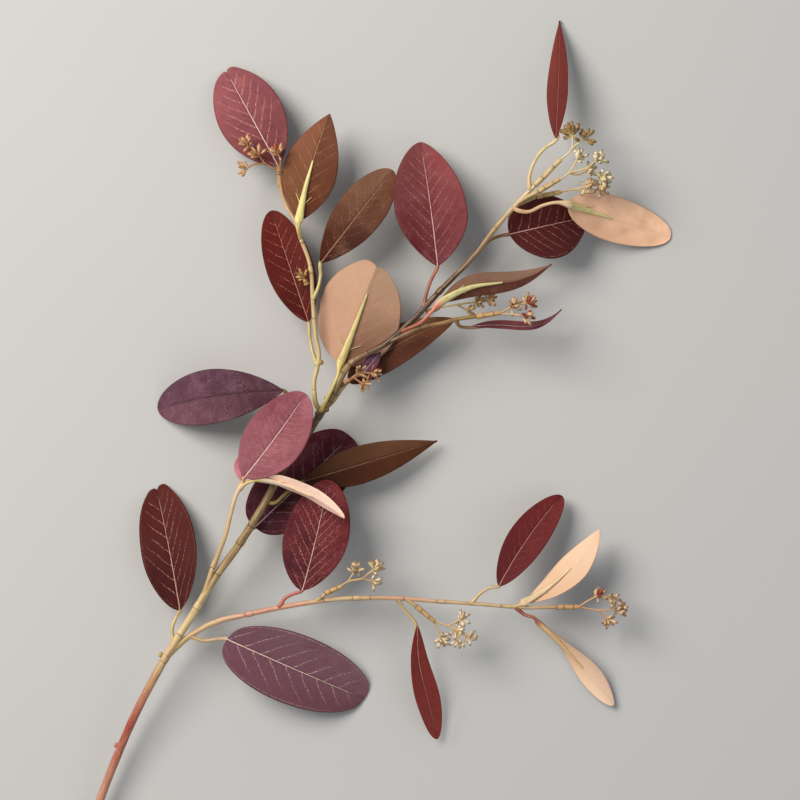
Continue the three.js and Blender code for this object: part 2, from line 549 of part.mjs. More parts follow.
function seedHead(head) {
  const sleeve = new THREE.LineCurve3(...vectors(head.sleeve));
  const parts = [bar(sleeve, taper(SLEEVE_RADII), STALK_SIDES, sleeve.getLength())];
  for (const { way, buds } of head.stalks) {
    const route = smoothRoute(way);
    parts.push(bar(route, () => TWIGLET_RADIUS, TWIGLET_SIDES, STALK_STEP));
    const axis = route.getTangent(1);
    parts.push(...budCluster(route.getPoint(1).addScaledVector(axis, -BUD_SEAT), axis, buds));
  }
  return joined(parts);
}

// ---- Assembly ----------------------------------------------------------------------------
const ROUGHNESS = { stem: 0.5, leaf: 0.8, seedHead: 0.55 };

function mesh(name, piece, colour, roughness) {
  const { vertProperties, triVerts } = piece.getMesh();
  const geometry = new THREE.BufferGeometry();
  geometry.setAttribute('position', new THREE.BufferAttribute(vertProperties, 3));
  geometry.setIndex(new THREE.BufferAttribute(triVerts, 1));
  geometry.computeVertexNormals();
  const material = new THREE.MeshStandardMaterial({ color: colour, roughness, metalness: 0 });
  const part = new THREE.Mesh(geometry, material);
  part.name = name;
  return part;
}

const branch = new THREE.Group();
branch.name = 'eucalyptus_branch';
branch.position.set(FORK[0], FORK[1], 0);
for (const stem of STEMS) branch.add(mesh(stem.name, stemPiece(stem), stem.colour, ROUGHNESS.stem));
for (const [name, leaf] of Object.entries(LEAVES)) {
  branch.add(mesh(name, blade(leaf), leaf.colour, ROUGHNESS.leaf));
}
for (const [name, head] of Object.entries(SEED_HEADS)) {
  branch.add(mesh(name, seedHead(head), head.colour, ROUGHNESS.seedHead));
}

export default branch;
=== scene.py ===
# The looks of a florist's artificial spray of seeded eucalyptus: pressed cloth leaves with
# printed veins, airbrushed plastic stems and heads of small club-shaped buds. It lies flat and
# is seen from above. Tables are in millimetres, measured from the first fork of the stem, with
# heights above the floor; meshes are in metres.
import math

import bpy
import numpy as np
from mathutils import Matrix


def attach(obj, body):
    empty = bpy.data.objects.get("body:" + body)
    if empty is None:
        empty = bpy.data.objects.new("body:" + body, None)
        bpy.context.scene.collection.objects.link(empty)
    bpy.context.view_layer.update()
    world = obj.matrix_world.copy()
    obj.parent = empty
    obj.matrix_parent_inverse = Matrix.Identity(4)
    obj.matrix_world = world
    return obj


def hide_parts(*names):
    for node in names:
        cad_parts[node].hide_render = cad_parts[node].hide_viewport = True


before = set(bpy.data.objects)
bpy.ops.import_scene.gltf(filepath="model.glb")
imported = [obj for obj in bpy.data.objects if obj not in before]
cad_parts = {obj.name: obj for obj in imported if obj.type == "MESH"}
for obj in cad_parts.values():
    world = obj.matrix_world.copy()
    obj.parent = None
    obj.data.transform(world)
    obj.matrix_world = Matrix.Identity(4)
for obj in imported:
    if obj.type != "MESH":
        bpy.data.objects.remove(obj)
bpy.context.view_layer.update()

MM = 0.001
FORK = (-124.8, -95)

MAIN_ROUTE = [
    [-81, -231, 3], [-72, -183, 5], [-58, -137, 8], [-42, -91, 11], [-22, -42, 16],
    [0, 0, 22],
    [11, 18, 24],
    [22, 35, 26],
    [34, 55, 28],
    [50, 77, 30],
    [65, 101, 31], [79, 126, 32], [90, 141, 33],
    [101, 159, 34],
    [109, 171, 34], [115, 183, 34],
    [122, 194, 34],
    [146, 208, 34], [162, 222, 34],
    [179, 240, 34],
    [204, 266, 34],
    [217, 283, 34],
    [234, 302, 34], [242, 310, 34],
]
RIGHT_ROUTE = [
    [3, 4, 22], [16, 16, 23], [34, 26, 23],
    [54, 31, 24],
    [83, 37, 26], [109, 41, 27],
    [124, 42, 28],
    [153, 42, 28],
    [179, 40, 28],
    [207, 38, 27], [232, 36, 26],
    [257, 36, 24],
]
LEFT_TWIG_ROUTE = [
    [24, 38, 26], [28, 47, 28],
    [33, 62, 31],
    [41, 82, 35], [45, 97, 38], [49, 110, 41], [53, 117, 42],
]
UPPER_TWIG_ROUTE = [
    [103, 163, 34], [100, 169, 34],
    [99, 177, 34],
    [99, 184, 34], [101, 192, 34], [102, 201, 34], [100, 212, 34], [98, 236, 33],
    [97, 253, 32],
    [95, 263, 31], [90, 276, 30], [87, 286, 28.5], [80, 299, 25.5], [77, 310, 25], [76, 318, 25.5],
]
BRANCHLET_ROUTE = [
    [146, 208, 34], [155, 212, 36],
    [168, 218, 38],
    [183, 221, 38], [190, 223, 38], [204, 225, 37],
]


def stretch(route, first, last, radii, collar=False):
    """Stem along a route, from one of its points to another, with the radii at the two ends."""
    return {"route": route, "from": first, "to": last, "radii": radii, "collar": collar}


def peg(route, radii):
    """A short side arm on a route of its own."""
    return stretch(route, 0, len(route) - 1, radii)


# The lengths of stem, each with its knobs (nubs) and the leaves whose stalks it carries.
STEMS = [
    {"name": "stem_foot", "runs": [
        stretch(MAIN_ROUTE, 0, 5, [2.8, 2.7]),
    ], "nubs": [[-31, -55, 15]]},
    {"name": "stem_first_fork", "runs": [
        stretch(MAIN_ROUTE, 5, 7, [2.6, 2.5], collar=True),
        stretch(RIGHT_ROUTE, 0, 3, [2.0, 1.7]),
    ], "nubs": [[-1.2, 4.8, 22.5]], "leaves": ["leaf_lower_left", "leaf_lower_right"]},
    {"name": "stem_second_fork", "runs": [
        stretch(MAIN_ROUTE, 7, 9, [2.5, 2.5], collar=True),
        stretch(LEFT_TWIG_ROUTE, 0, 2, [1.8, 1.6]),
    ]},
    {"name": "stem_left_twig", "runs": [
        stretch(LEFT_TWIG_ROUTE, 2, 6, [1.6, 1.3], collar=True),
    ], "leaves": ["leaf_mid_pink", "leaf_mid_small", "leaf_mid_pale"]},
    {"name": "stem_middle", "runs": [
        stretch(MAIN_ROUTE, 9, 13, [2.6, 2.4], collar=True),
    ], "leaves": ["leaf_mid_behind", "leaf_mid_right", "leaf_mid_left"]},
    {"name": "stem_upper_fork", "runs": [
        stretch(MAIN_ROUTE, 13, 16, [2.3, 2.1], collar=True),
        stretch(UPPER_TWIG_ROUTE, 0, 2, [1.6, 1.5]),
        peg([[103, 164, 33], [110, 170, 31], [115, 177, 30], [119, 182, 29]], [2.2, 1.9]),
    ], "leaves": ["leaf_fork_round", "leaf_fork_under", "leaf_fork_small"]},
    {"name": "stem_shoulder", "runs": [
        stretch(MAIN_ROUTE, 16, 19, [2.1, 1.9], collar=True),
        stretch(BRANCHLET_ROUTE, 0, 2, [1.4, 1.3]),
    ], "leaves": ["leaf_crown_oval", "leaf_crown_narrow"]},
    {"name": "stem_branchlet", "runs": [
        stretch(BRANCHLET_ROUTE, 2, 5, [1.3, 1.2], collar=True),
    ], "leaves": ["leaf_crown_slim"]},
    {"name": "stem_crown", "runs": [
        stretch(MAIN_ROUTE, 19, 21, [1.8, 1.6], collar=True),
    ], "leaves": ["leaf_crown_under"]},
    {"name": "stem_crown_fork", "runs": [
        stretch(MAIN_ROUTE, 21, 23, [1.6, 1.4]),
        peg([[230, 298, 34], [238, 303, 35], [244, 306, 36]], [1.4, 1.3]),
        peg([[228, 296, 34], [236, 300, 31], [243, 303, 30]], [1.4, 1.3]),
    ], "leaves": ["leaf_crown_side", "leaf_crown_tip"]},
    {"name": "stem_upper_twig", "runs": [
        stretch(UPPER_TWIG_ROUTE, 2, 8, [1.5, 1.3]),
    ], "nubs": [[103.5, 195.5, 34.5]], "leaves": ["leaf_fork_left", "leaf_twig_right"]},
    {"name": "stem_twig_end", "runs": [
        stretch(UPPER_TWIG_ROUTE, 8, 14, [1.3, 1.1], collar=True),
    ], "leaves": ["leaf_twig_front", "leaf_twig_end"]},
    {"name": "stem_branch_inner", "runs": [
        stretch(RIGHT_ROUTE, 3, 6, [1.7, 1.5], collar=True),
        peg([[99, 39.5, 26.5], [103, 42, 28], [106, 45, 29.5]], [1.3, 1.2]),
    ], "leaves": ["leaf_branch_first"]},
    {"name": "stem_branch_middle", "runs": [
        stretch(RIGHT_ROUTE, 6, 8, [1.5, 1.3], collar=True),
        peg([[158, 42, 28], [162, 39, 28.5], [165, 37, 29]], [1.2, 1.1]),
    ], "leaves": ["leaf_branch_hanging"]},
    {"name": "stem_branch_outer", "runs": [
        stretch(RIGHT_ROUTE, 8, 11, [1.3, 1.2], collar=True),
    ], "leaves": ["leaf_branch_upright", "leaf_branch_pale", "leaf_branch_end"]},
]

# An outline is widest at peak (0 at the base, 1 at the tip); larger powers make sharper ends.
OUTLINES = {
    "oval": { "peak": 0.48, "base": 0.62, "tip": 0.5 },
    "egg": { "peak": 0.42, "base": 0.72, "tip": 0.6 },
    "rhomb": { "peak": 0.45, "base": 0.8, "tip": 0.85 },
    "lance": { "peak": 0.4, "base": 0.7, "tip": 0.95 },
    "blunt": { "peak": 0.55, "base": 0.75, "tip": 0.5 },
    "broad": { "peak": 0.5, "base": 0.6, "tip": 0.42 },
    "full": { "peak": 0.48, "base": 0.36, "tip": 0.38 },
    "round": { "peak": 0.48, "base": 0.45, "tip": 0.42 },
    "heart": { "peak": 0.42, "base": 0.5, "tip": 0.75 },
    "spoon": { "peak": 0.62, "base": 0.7, "tip": 0.55 },
    "paddle": { "peak": 0.55, "base": 0.9, "tip": 0.75 },
}


def leaf_facts(base, tip, width, outline, stalk, fold=6, bow=3, roll=0, twist=0, sway=0, skew=0,
               wave=0, reach=0.56):
    """The blade between base and tip, and its stalk's way from the stem to the base.

    roll and twist turn the blade about its length, 180 showing its back, and fold bends its
    halves forward, all in degrees. bow lifts its middle, sway and wave move it sideways, and
    skew shifts its two halves along it. The rib runs to reach, a fraction of the length.
    """
    return dict(base=base, tip=tip, width=width, outline=outline, stalk=stalk, fold=fold,
                bow=bow, roll=roll, twist=twist, sway=sway, skew=skew, wave=wave, reach=reach)


LEAVES = {
    "leaf_lower_left": leaf_facts(
        [11, 34, 23], [-6, 113, 1], 37, "broad", [[7, 13, 23], [6, 22, 22], [9, 30, 21]], bow=4,
        sway=1, skew=3),
    "leaf_lower_right": leaf_facts(
        [42, 15, 24], [131, -26, 1], 47, "full", [[18, 17, 23], [26, 14, 23], [36, 15, 22]], fold=4,
        bow=4, skew=-4.5),
    "leaf_branch_first": leaf_facts(
        [91, 47, 29], [108, 119, 29], 42, "oval", [[76, 36, 26], [80, 42, 27], [86, 45, 27]],
        sway=1, skew=2),
    "leaf_branch_hanging": leaf_facts(
        [166, 24, 25], [179, -52, 6], 19, "spoon", [[153, 42, 28], [157, 35, 27], [163, 28, 25]],
        fold=4, bow=1, roll=35, sway=3.7, wave=1.2),
    "leaf_branch_upright": leaf_facts(
        [219, 50, 27], [261, 108, 8], 25, "oval", [[201, 38, 27], [207, 45, 27], [214, 49, 26]],
        fold=8, roll=10, sway=-2),
    "leaf_branch_pale": leaf_facts(
        [235, 38, 25], [285, 86, 22], 22, "paddle", [[226, 36.5, 26], [231, 37, 27]], fold=8,
        roll=215, sway=-4),
    "leaf_branch_end": leaf_facts(
        [247, 26, 18], [295, -30, 4.4], 16, "spoon", [[230, 36, 26], [236, 31, 24], [242, 29, 22]],
        fold=8, bow=2, roll=140, twist=110),
    "leaf_mid_pink": leaf_facts(
        [54, 121, 46], [94, 175, 47], 39, "oval", [[53, 116, 41.5], [53.5, 119, 42.5]], sway=1),
    "leaf_mid_small": leaf_facts(
        [53, 118.5, 40], [53.5, 136, 35], 12, "oval", [[51, 113, 41], [51, 117, 39]], bow=1),
    "leaf_mid_pale": leaf_facts(
        [66, 121, 44], [119, 95, 49], 18, "full", [[51, 113, 41], [55, 117, 43], [60, 119, 45]],
        fold=10, bow=4, roll=120),
    "leaf_mid_behind": leaf_facts(
        [60, 88, 24], [122, 147, 5], 48, "full", [[56, 87, 29], [57.5, 87.2, 22]], bow=1, skew=2),
    "leaf_mid_right": leaf_facts(
        [92, 118, 26], [179, 144, 9], 25, "lance",
        [[67, 105, 31], [73, 104, 29], [79, 109, 26], [85, 114, 23.5]], bow=1, roll=-8),
    "leaf_mid_left": leaf_facts(
        [79, 177, 39], [-5, 165, 1], 36, "blunt", [[91, 143, 33], [88, 155, 34], [84, 169, 36]],
        bow=5, sway=3),
    "leaf_fork_round": leaf_facts(
        [116, 195, 30], [140, 257, 39], 56, "round",
        [[103, 163, 35], [109, 175, 37], [114, 186, 35]], fold=10, bow=4, roll=180, skew=3,
        reach=0.72),
    "leaf_fork_under": leaf_facts(
        [121, 183, 23], [191, 224, 19], 25, "heart",
        [[115, 177, 30], [117, 179.5, 25], [118.5, 181, 21]], bow=0, sway=-4.5),
    "leaf_fork_small": leaf_facts(
        [130, 188, 32], [142, 202, 30.8], 9, "rhomb",
        [[116, 179, 30], [122, 184, 30.5], [126.5, 186.7, 29.8]], bow=1),
    "leaf_fork_left": leaf_facts(
        [95, 222, 28], [70, 295, 13], 31, "oval", [[101, 193, 34], [98, 202, 31], [96, 211, 27.5]],
        fold=8, bow=1.5),
    "leaf_twig_right": leaf_facts(
        [103, 260, 31], [150, 321, 20], 31, "blunt",
        [[98, 236, 33], [101.5, 244, 32], [103, 252, 29.5]], fold=5),
    "leaf_twig_front": leaf_facts(
        [89, 287, 34], [109, 357, 28], 36, "rhomb",
        [[90, 276, 30], [89.5, 280, 34], [89, 284, 36.5]], fold=10, roll=180, sway=2.3),
    "leaf_twig_end": leaf_facts(
        [75, 324, 23.5], [40, 388, 1], 44, "oval", [[76.5, 311, 24], [75.5, 317, 21.2]], bow=4),
    "leaf_crown_oval": leaf_facts(
        [179, 258, 35], [168, 340, 12], 47.5, "egg",
        [[170, 230, 34], [172, 241, 34], [175, 249, 33]], fold=8, bow=4, sway=0.7, skew=-3),
    "leaf_crown_narrow": leaf_facts(
        [180, 234, 40], [253, 259, 34], 16, "lance",
        [[155, 215, 34], [162, 218, 38], [168, 221, 41], [174, 227, 42]], fold=8, bow=1, roll=160,
        wave=3),
    "leaf_crown_slim": leaf_facts(
        [202, 219, 31], [260, 230, 26], 10, "lance",
        [[191, 223, 38], [193, 219, 36], [197, 218, 33]], fold=8, bow=-3, roll=50, sway=5.5,
        wave=-3.7),
    "leaf_crown_under": leaf_facts(
        [226, 279, 25], [277, 291, 14], 45, "heart",
        [[204, 266, 34], [212, 274, 30], [220, 278, 24.5]], fold=8, skew=4),
    "leaf_crown_side": leaf_facts(
        [264, 298, 33], [333, 279, 1], 30, "round",
        [[228, 296, 34], [231, 294, 35], [238, 293, 36], [247, 297, 36], [256, 299, 36]], bow=4,
        roll=180, reach=0.45),
    "leaf_crown_tip": leaf_facts(
        [256, 341, 32], [260, 421, 1.2], 15.5, "lance",
        [[239, 307, 34], [238.5, 315, 34], [242, 326, 33], [248, 334, 31]], fold=8, bow=1, roll=30,
        sway=1),
}

# ---- Seed heads --------------------------------------------------------------------------
def bud_head(sleeve, *stalks):
    """A sleeve's two ends, and each bud stalk's way followed by its number of buds."""
    return {"sleeve": sleeve, "stalks": [{"way": way, "buds": buds} for *way, buds in stalks]}


SEED_HEADS = {
    "seed_head_twig": bud_head(
        [[76, 318.5, 25.8], [76, 321, 27]], ([76, 320, 26.5], [67, 325, 28], [62, 331, 31], 5),
        ([62, 330, 30], [55, 338, 31], 6), ([67, 325, 28], [59, 324, 28], [54, 321, 28], 3),
        ([76, 320, 26.5], [77, 326, 29], [75, 332, 31], 6)),
    "seed_head_twig_inner": bud_head(
        [[94.2, 246, 33], [93, 249, 34]], ([93.4, 248, 33.7], [91.6, 251.5, 34.5], 4)),
    "seed_head_crown_left": bud_head(
        [[242.3, 310.3, 34], [259, 327, 36]], ([258, 326, 36], [266, 334, 37], [266, 344, 38], 7),
        ([266, 334, 37], [275, 341, 37], 4)),
    "seed_head_crown_middle": bud_head(
        [[244.4, 306.2, 36], [258, 314, 37]], ([257, 313, 37], [264, 318, 38], [270, 328, 39], 6),
        ([264, 318, 38], [275, 321, 39], [283, 327, 38], 5), ([275, 321, 39], [286, 315, 38], 6),
        ([264, 318, 38], [270, 317, 36], [277, 320, 35], 5)),
    "seed_head_crown_right": bud_head(
        [[243.4, 303.2, 30], [259, 306, 30]], ([258, 306, 30], [268, 308, 31], [277, 310, 32], 5),
        ([268, 308, 31], [277, 306, 31], [285, 308, 31], 6)),
    "seed_head_shoulder": bud_head(
        [[172, 227.5, 31.5], [180, 231, 31]], ([179, 231, 31], [192, 233, 29], [205, 235, 28], 6),
        ([205, 235, 28], [213, 237, 27], 4), ([192, 233, 29], [199, 229, 28], 2)),
    "seed_head_branchlet": bud_head(
        [[204.3, 225, 37], [220, 227.5, 38]], ([219, 227, 38], [228, 232, 41], 5),
        ([228, 232, 41], [238, 234, 42], 7), ([219, 227, 38], [230, 226, 43], [236, 225, 44], 5)),
    "seed_head_fork": bud_head(
        [[119.2, 182.2, 35], [122, 184, 37]], ([121, 183, 36], [128, 189, 40], 3),
        ([128, 189, 40], [138, 188, 41], 6), ([124, 186, 38], [131, 181, 40], 4)),
    "seed_head_branch_upper": bud_head(
        [[106.3, 45.3, 29.6], [117, 50, 31]], ([116, 50, 31], [121, 53, 32], [130, 55, 33], 0),
        ([121, 53, 32], [126, 61, 33], 5), ([130, 55, 33], [139, 62, 34], 7),
        ([130, 55, 33], [138, 53, 32], 3)),
    "seed_head_branch_lower": bud_head(
        [[165.2, 36.8, 29], [177, 27, 28]], ([176, 28, 28], [182, 15, 27], 5),
        ([176, 27, 28], [186, 24, 28], [192, 21, 28], 3), ([186, 24, 28], [195, 29, 29], 4),
        ([192, 21, 28], [200, 17, 28], 4), ([192, 21, 28], [193, 14, 27], 3)),
    "seed_head_branch_end": bud_head(
        [[257.3, 36, 24], [272, 36, 24]], ([271, 36, 24], [277, 40, 25], [284, 44, 26], 5),
        ([284, 44, 26], [293, 42, 26], 3), ([271, 36, 24], [284, 34, 23], [298, 34, 23], 7),
        ([284, 34, 23], [291, 27, 22], 4)),
}

# ---- Shapes of the visible pieces, mm -----------------------------------------------------
CLOTH_THICKNESS = 0.42
BLADE_ROWS, BLADE_COLUMNS = 76, 38
BLADE_NARROWEST = 0.7
CREASE = 0.05                # how softly a blade folds at its midrib, of its half width
RIB_CLEARANCE = 0.04
RIB_RADII = (1.8, 0.35)
HIDDEN_RIB_RADII = (1.15, 0.3)   # of a rib that lies under its blade
RIB_TAPER = 0.8
RIB_STATIONS = (0, 0.12, 0.3, 0.56, 1)
RIB_BREADTH = 1.65           # a rib is this much wider across its blade than it is thick
STALK_RADIUS = 1.1
STALK_FLARE = 0.5
BARB_RADII = (0.45, 0.2)
PAINTED_SIDE_SHADE = 0.42            # painted shade: how much the sides and underside of each bar are darkened brown
BUD_LENGTH = 6.6
BUD_RADIUS = 1.0
BUD_SEAT = 1.0
BUD_SPREAD = (0.25, 1.35)
SMALL_BUD_SIZES = (0.85, 0.7)    # of the two beside each bud, against it
GOLDEN_ANGLE = 2.39996
SLEEVE_RADII = (1.85, 1.45)
SPAN_STEPS = 24              # points of a smooth route for each span between its places
WEAVE_PITCH = 0.62
RING_REACH = 2.5             # how far from a stem's middle line a ring's place may be marked
SCALE_REACH = 2.6
SCALE_LIFT = 0.5
# heights and radii of a bud, as fractions of its length and of its largest radius
BUD_PROFILE = ((0, 0.3), (0.12, 0.34), (0.28, 0.46), (0.44, 0.7), (0.58, 0.92), (0.68, 1.0),
               (0.77, 0.99), (0.80, 0.9), (0.83, 0.93), (0.91, 0.76), (0.97, 0.5), (1.0, 0.14))

# ---- Colours ------------------------------------------------------------------------------
# Along each route, one colour at each of its points.
MAIN_TINTS = (
    "b88c6a c09474 c69a7c c2886e a03c34 c0a074 d6b888 d2b888 b09264 8c7042 765c34 "
    "6a502a 624824 5e4626 705830 866c42 8c6c46 3a2218 3e261a 56361f 7c5c38 a88a5c "
    "ceb48e d2b892").split()
RIGHT_TINTS = (
    "b99a65 bc9c68 c8a67c cb947c c88e76 c4a47c c4aa7c cb967c c8a480 c4a87c c8ac84 "
    "bc9468").split()
LEFT_TINTS = "b89c68 bc9f6c c0a070 c8a87c d0b088 d8ba94 dcc09c".split()
UPPER_TINTS = (
    "8a7642 a8925a c2ac74 c8b47c c8b27c c6ae78 c4ab76 c0a874 c2aa78 c6aa7c c8aa7c "
    "c8a478 c49a6c bc8a58 b8804c").split()
BRANCHLET_TINTS = "6b4a30 74523a 80603a 96703e 8a6a3c 96743e".split()
ROUTE_TINTS = [(MAIN_ROUTE, MAIN_TINTS), (RIGHT_ROUTE, RIGHT_TINTS), (LEFT_TWIG_ROUTE, LEFT_TINTS),
               (UPPER_TWIG_ROUTE, UPPER_TINTS), (BRANCHLET_ROUTE, BRANCHLET_TINTS)]
PEG_TINTS = "b0925c c4a878".split()
PLAIN_NUB_TINT = "b89a5a"
NUB_TINTS = {"stem_foot": "c88470", "stem_first_fork": "c0a864"}
# Dark growth rings, as x and y of the place where each crosses its stem.
RINGS = [(105, 41), (135, 42), (157, 42), (179, 40), (221, 37), (11, 18.3), (36, 58), (57, 89),
         (97, 155), (103, 162), (106, 166), (108.5, 170.5), (111.5, 175.5), (118, 188.5),
         (134, 201.5), (190, 251), (98.5, 224), (91, 273)]

# Bud scales around the ringed joint of the main stem.
SCALE_TINT = "80683c"
JOINT_SCALES = [(98.4, 153.8), (101.2, 162.4), (107.2, 164.9), (107.4, 171.8)]

# A leafstalk's colour where it leaves the stem, at the blade's base, and along its rib.
STALK_TINTS = {
    "leaf_lower_left": "bda76c ccb880 c8b078",
    "leaf_lower_right": "c8a878 d0ac90 dcbca4",
    "leaf_branch_first": "b8604c b85a54 c88070",
    "leaf_branch_hanging": "c8ae7c ccb480 bca070",
    "leaf_branch_upright": "c8aa78 d4b890 caa884",
    "leaf_branch_pale": "c8a868 d8b888 e0c49c",
    "leaf_branch_end": "a04c3c b86c50 d8b47c",
    "leaf_mid_pink": "cfae78 d8b484 d8b888",
    "leaf_mid_small": "cca866 c89878 c89080",
    "leaf_mid_pale": "d2b078 e0c87c f2d6b8",
    "leaf_mid_behind": "a08a48 8c7440 785c3c",
    "leaf_mid_right": "9c8848 8c7040 7c5838",
    "leaf_mid_left": "94803f 806a3c 785a3c",
    "leaf_fork_round": "b8a458 c8b868 ccbc78",
    "leaf_fork_under": "8c6c40 8a6844 946c4c",
    "leaf_fork_small": "a0704c a8785c a07868",
    "leaf_fork_left": "c4b070 c8b078 b8a068",
    "leaf_twig_right": "c6b474 ccb87c bca470",
    "leaf_twig_front": "c4b068 d2c278 d8cc84",
    "leaf_twig_end": "c0a060 b89058 b08450",
    "leaf_crown_oval": "904c38 a85a44 a86050",
    "leaf_crown_narrow": "984c34 c8705c d2ca8c",
    "leaf_crown_slim": "8c6c3e 94703f 8c5c48",
    "leaf_crown_under": "8c6840 7c5438 7c4c40",
    "leaf_crown_side": "d4a880 d8b890 dcd090",
    "leaf_crown_tip": "d8bc84 dcc890 c08c6c",
}

# The look of a blade's cloth: tones are at the base and at the tip, first on the blade's own
# left half and then on its right. spacing, slope and bend place the side veins, mm. depth scales
# how bright the tones are; raised on some blades, it partly paints in the light falling on them.
# The rest are strengths.
LOOK = dict(depth=0.66, spacing=8, slope=(1, 1), bend=0.01, light=0.6, split=0.9, dusk=0.5,
            dark=0.5, net=0, patchy=0.42, speck=0.35, margin=0.0, shade=0.4, midrib="d8b0a8")


def cloth_look(**given):
    return {**LOOK, **given}


PALE_FRONT = cloth_look(tones="8c4a50 8c4a50 94545a 94545a", bend=0, vein="d0a0a0")
TAN_FRONT = cloth_look(tones="6a2a34 6a2a34 743440 743440", vein="c89898", light=0.7)
FRONTS = {
    "leaf_lower_left": cloth_look(
        tones="4e1410 561612 5e1a15 641e19", margin=0.2, spacing=9.5, slope=(1.2, 2.0),
        vein="c08c80", light=0.95, midrib="c89888"),
    "leaf_lower_right": cloth_look(
        tones="6a4854 6e4550 7c5662 6a4149", depth=1.1, dusk=0.2, margin=0.35, spacing=11.5,
        slope=(0.8, 1.1), bend=0.012, vein="d8bcae", light=1.1, midrib="e8ccb8"),
    "leaf_branch_first": cloth_look(
        tones="5c2430 68242e 702830 7c2c2e", dusk=0.1, spacing=7.5, slope=(1.3, 1.4), bend=0.006,
        vein="cc9690", light=0.95, net=1.2, mesh="a8504c", patchy=0.3),
    "leaf_branch_hanging": cloth_look(
        tones="7c302a 82302a 8c3630 903a32", depth=1.15, spacing=7, slope=(1.4, 1.4), bend=0,
        vein="a86458", light=0.3, midrib="c88c7c"),
    "leaf_branch_upright": cloth_look(
        tones="6e2024 74262a 802a2b 842e2e", spacing=7, slope=(1.2, 1.2), vein="a0605c", light=0.5,
        midrib="b07a70"),
    "leaf_branch_pale": PALE_FRONT,
    "leaf_branch_end": cloth_look(
        tones="8c4a50 a8605c 94545a 94545a", bend=0, vein="d0a0a0"),
    "leaf_mid_pink": cloth_look(
        tones="a8646e 9c5862 944e58 9c5a62", depth=0.92, dusk=0.35, spacing=4.2, slope=(0.45, 0.5),
        bend=0.012, vein="d09c9c", light=0.5, midrib="ecccc4", dark=0.9, net=0.25, mottle="b87078"),
    "leaf_mid_small": cloth_look(
        tones="b87880 a8646e a05a64 984e5a", depth=1.4, spacing=4, slope=(0.6, 0.6), vein="d8a8a8",
        light=0.5, midrib="e8c4c0"),
    "leaf_mid_pale": PALE_FRONT,
    "leaf_mid_behind": cloth_look(
        tones="5e2430 521a24 64202e 561722", spacing=9, slope=(0.85, 0.9), vein="a87c88",
        light=0.85, midrib="d0a8ac", net=0.5, mottle="5c3440"),
    "leaf_mid_right": cloth_look(
        tones="6a3e24 4c1f0c 82563a 64361c", spacing=12, slope=(1.2, 1.2), bend=0, vein="8c6650",
        light=0.12, midrib="8c6450", dark=0.1, split=0.22),
    "leaf_mid_left": cloth_look(
        tones="4a2430 52303c 704654 644050", depth=0.9, dusk=0.3, spacing=6.5, slope=(0.9, 1.1),
        vein="8e6878", light=0.35, midrib="42222c", dark=1.0, net=0.7, mesh="9c7484",
        mottle="845c6c"),
    "leaf_fork_round": TAN_FRONT,
    "leaf_fork_under": cloth_look(
        tones="684028 5c3020 94603e 8a5036", spacing=10, slope=(0.9, 1.0), vein="a8785c",
        light=0.55, midrib="a8765a", dark=0.2),
    "leaf_fork_small": cloth_look(
        tones="7c5468 74485c 80586c 6c4456", spacing=5, bend=0, vein="b08c9c", light=0.4,
        midrib="b08c98"),
    "leaf_fork_left": cloth_look(
        tones="5a0f06 62140a 70180e 741c10", spacing=8.5, slope=(1.0, 1.2), vein="c48474",
        light=0.75, midrib="b87868", speck=0.8),
    "leaf_twig_right": cloth_look(
        tones="5c2412 42100a 9c6c52 84503a", slope=(1.0, 1.2), vein="ac8068", light=0.5,
        midrib="a8785c", net=0.5, split=0.3),
    "leaf_twig_front": TAN_FRONT,
    "leaf_twig_end": cloth_look(
        tones="8a4448 7c3c40 a45a60 8c4a50", depth=0.82, spacing=9.5, slope=(1.2, 1.3), bend=0.008,
        vein="dcb0ac", light=1.1, midrib="ecccc4", dark=0.9, mottle="ac6460"),
    # Its own right half is lighter partly as a painted sheen highlight.
    "leaf_crown_oval": cloth_look(
        tones="641e22 782e34 804040 964848", depth=0.78, spacing=8.5, slope=(1.1, 1.2), bend=0.008,
        vein="c48c90", light=0.8, midrib="d8a8a0", dark=0.8, net=0.3, mottle="8c4a50"),
    "leaf_crown_narrow": cloth_look(
        tones="5c2428 5c2428 682c30 682c30", bend=0, vein="b08080", light=0.5, midrib="c89890"),
    "leaf_crown_slim": cloth_look(
        tones="7a3c40 70363e 90504c 80424a", depth=0.85, spacing=6, slope=(1.5, 1.5), bend=0,
        vein="c89ca4", light=0.3, midrib="d0a4a8"),
    "leaf_crown_under": cloth_look(
        tones="621f1d 5e1c1e 64241c 56201e", margin=0.3, spacing=6.2, slope=(0.5, 0.55), bend=0.012,
        vein="b4847c", light=1.0, midrib="c8968c", dark=0.4),
    "leaf_crown_side": PALE_FRONT,
    "leaf_crown_tip": cloth_look(
        tones="80322e 782a24 903e34 7c2c24", spacing=7, slope=(1.5, 1.5), bend=0, vein="98504a",
        light=0.15, midrib="965044"),
}
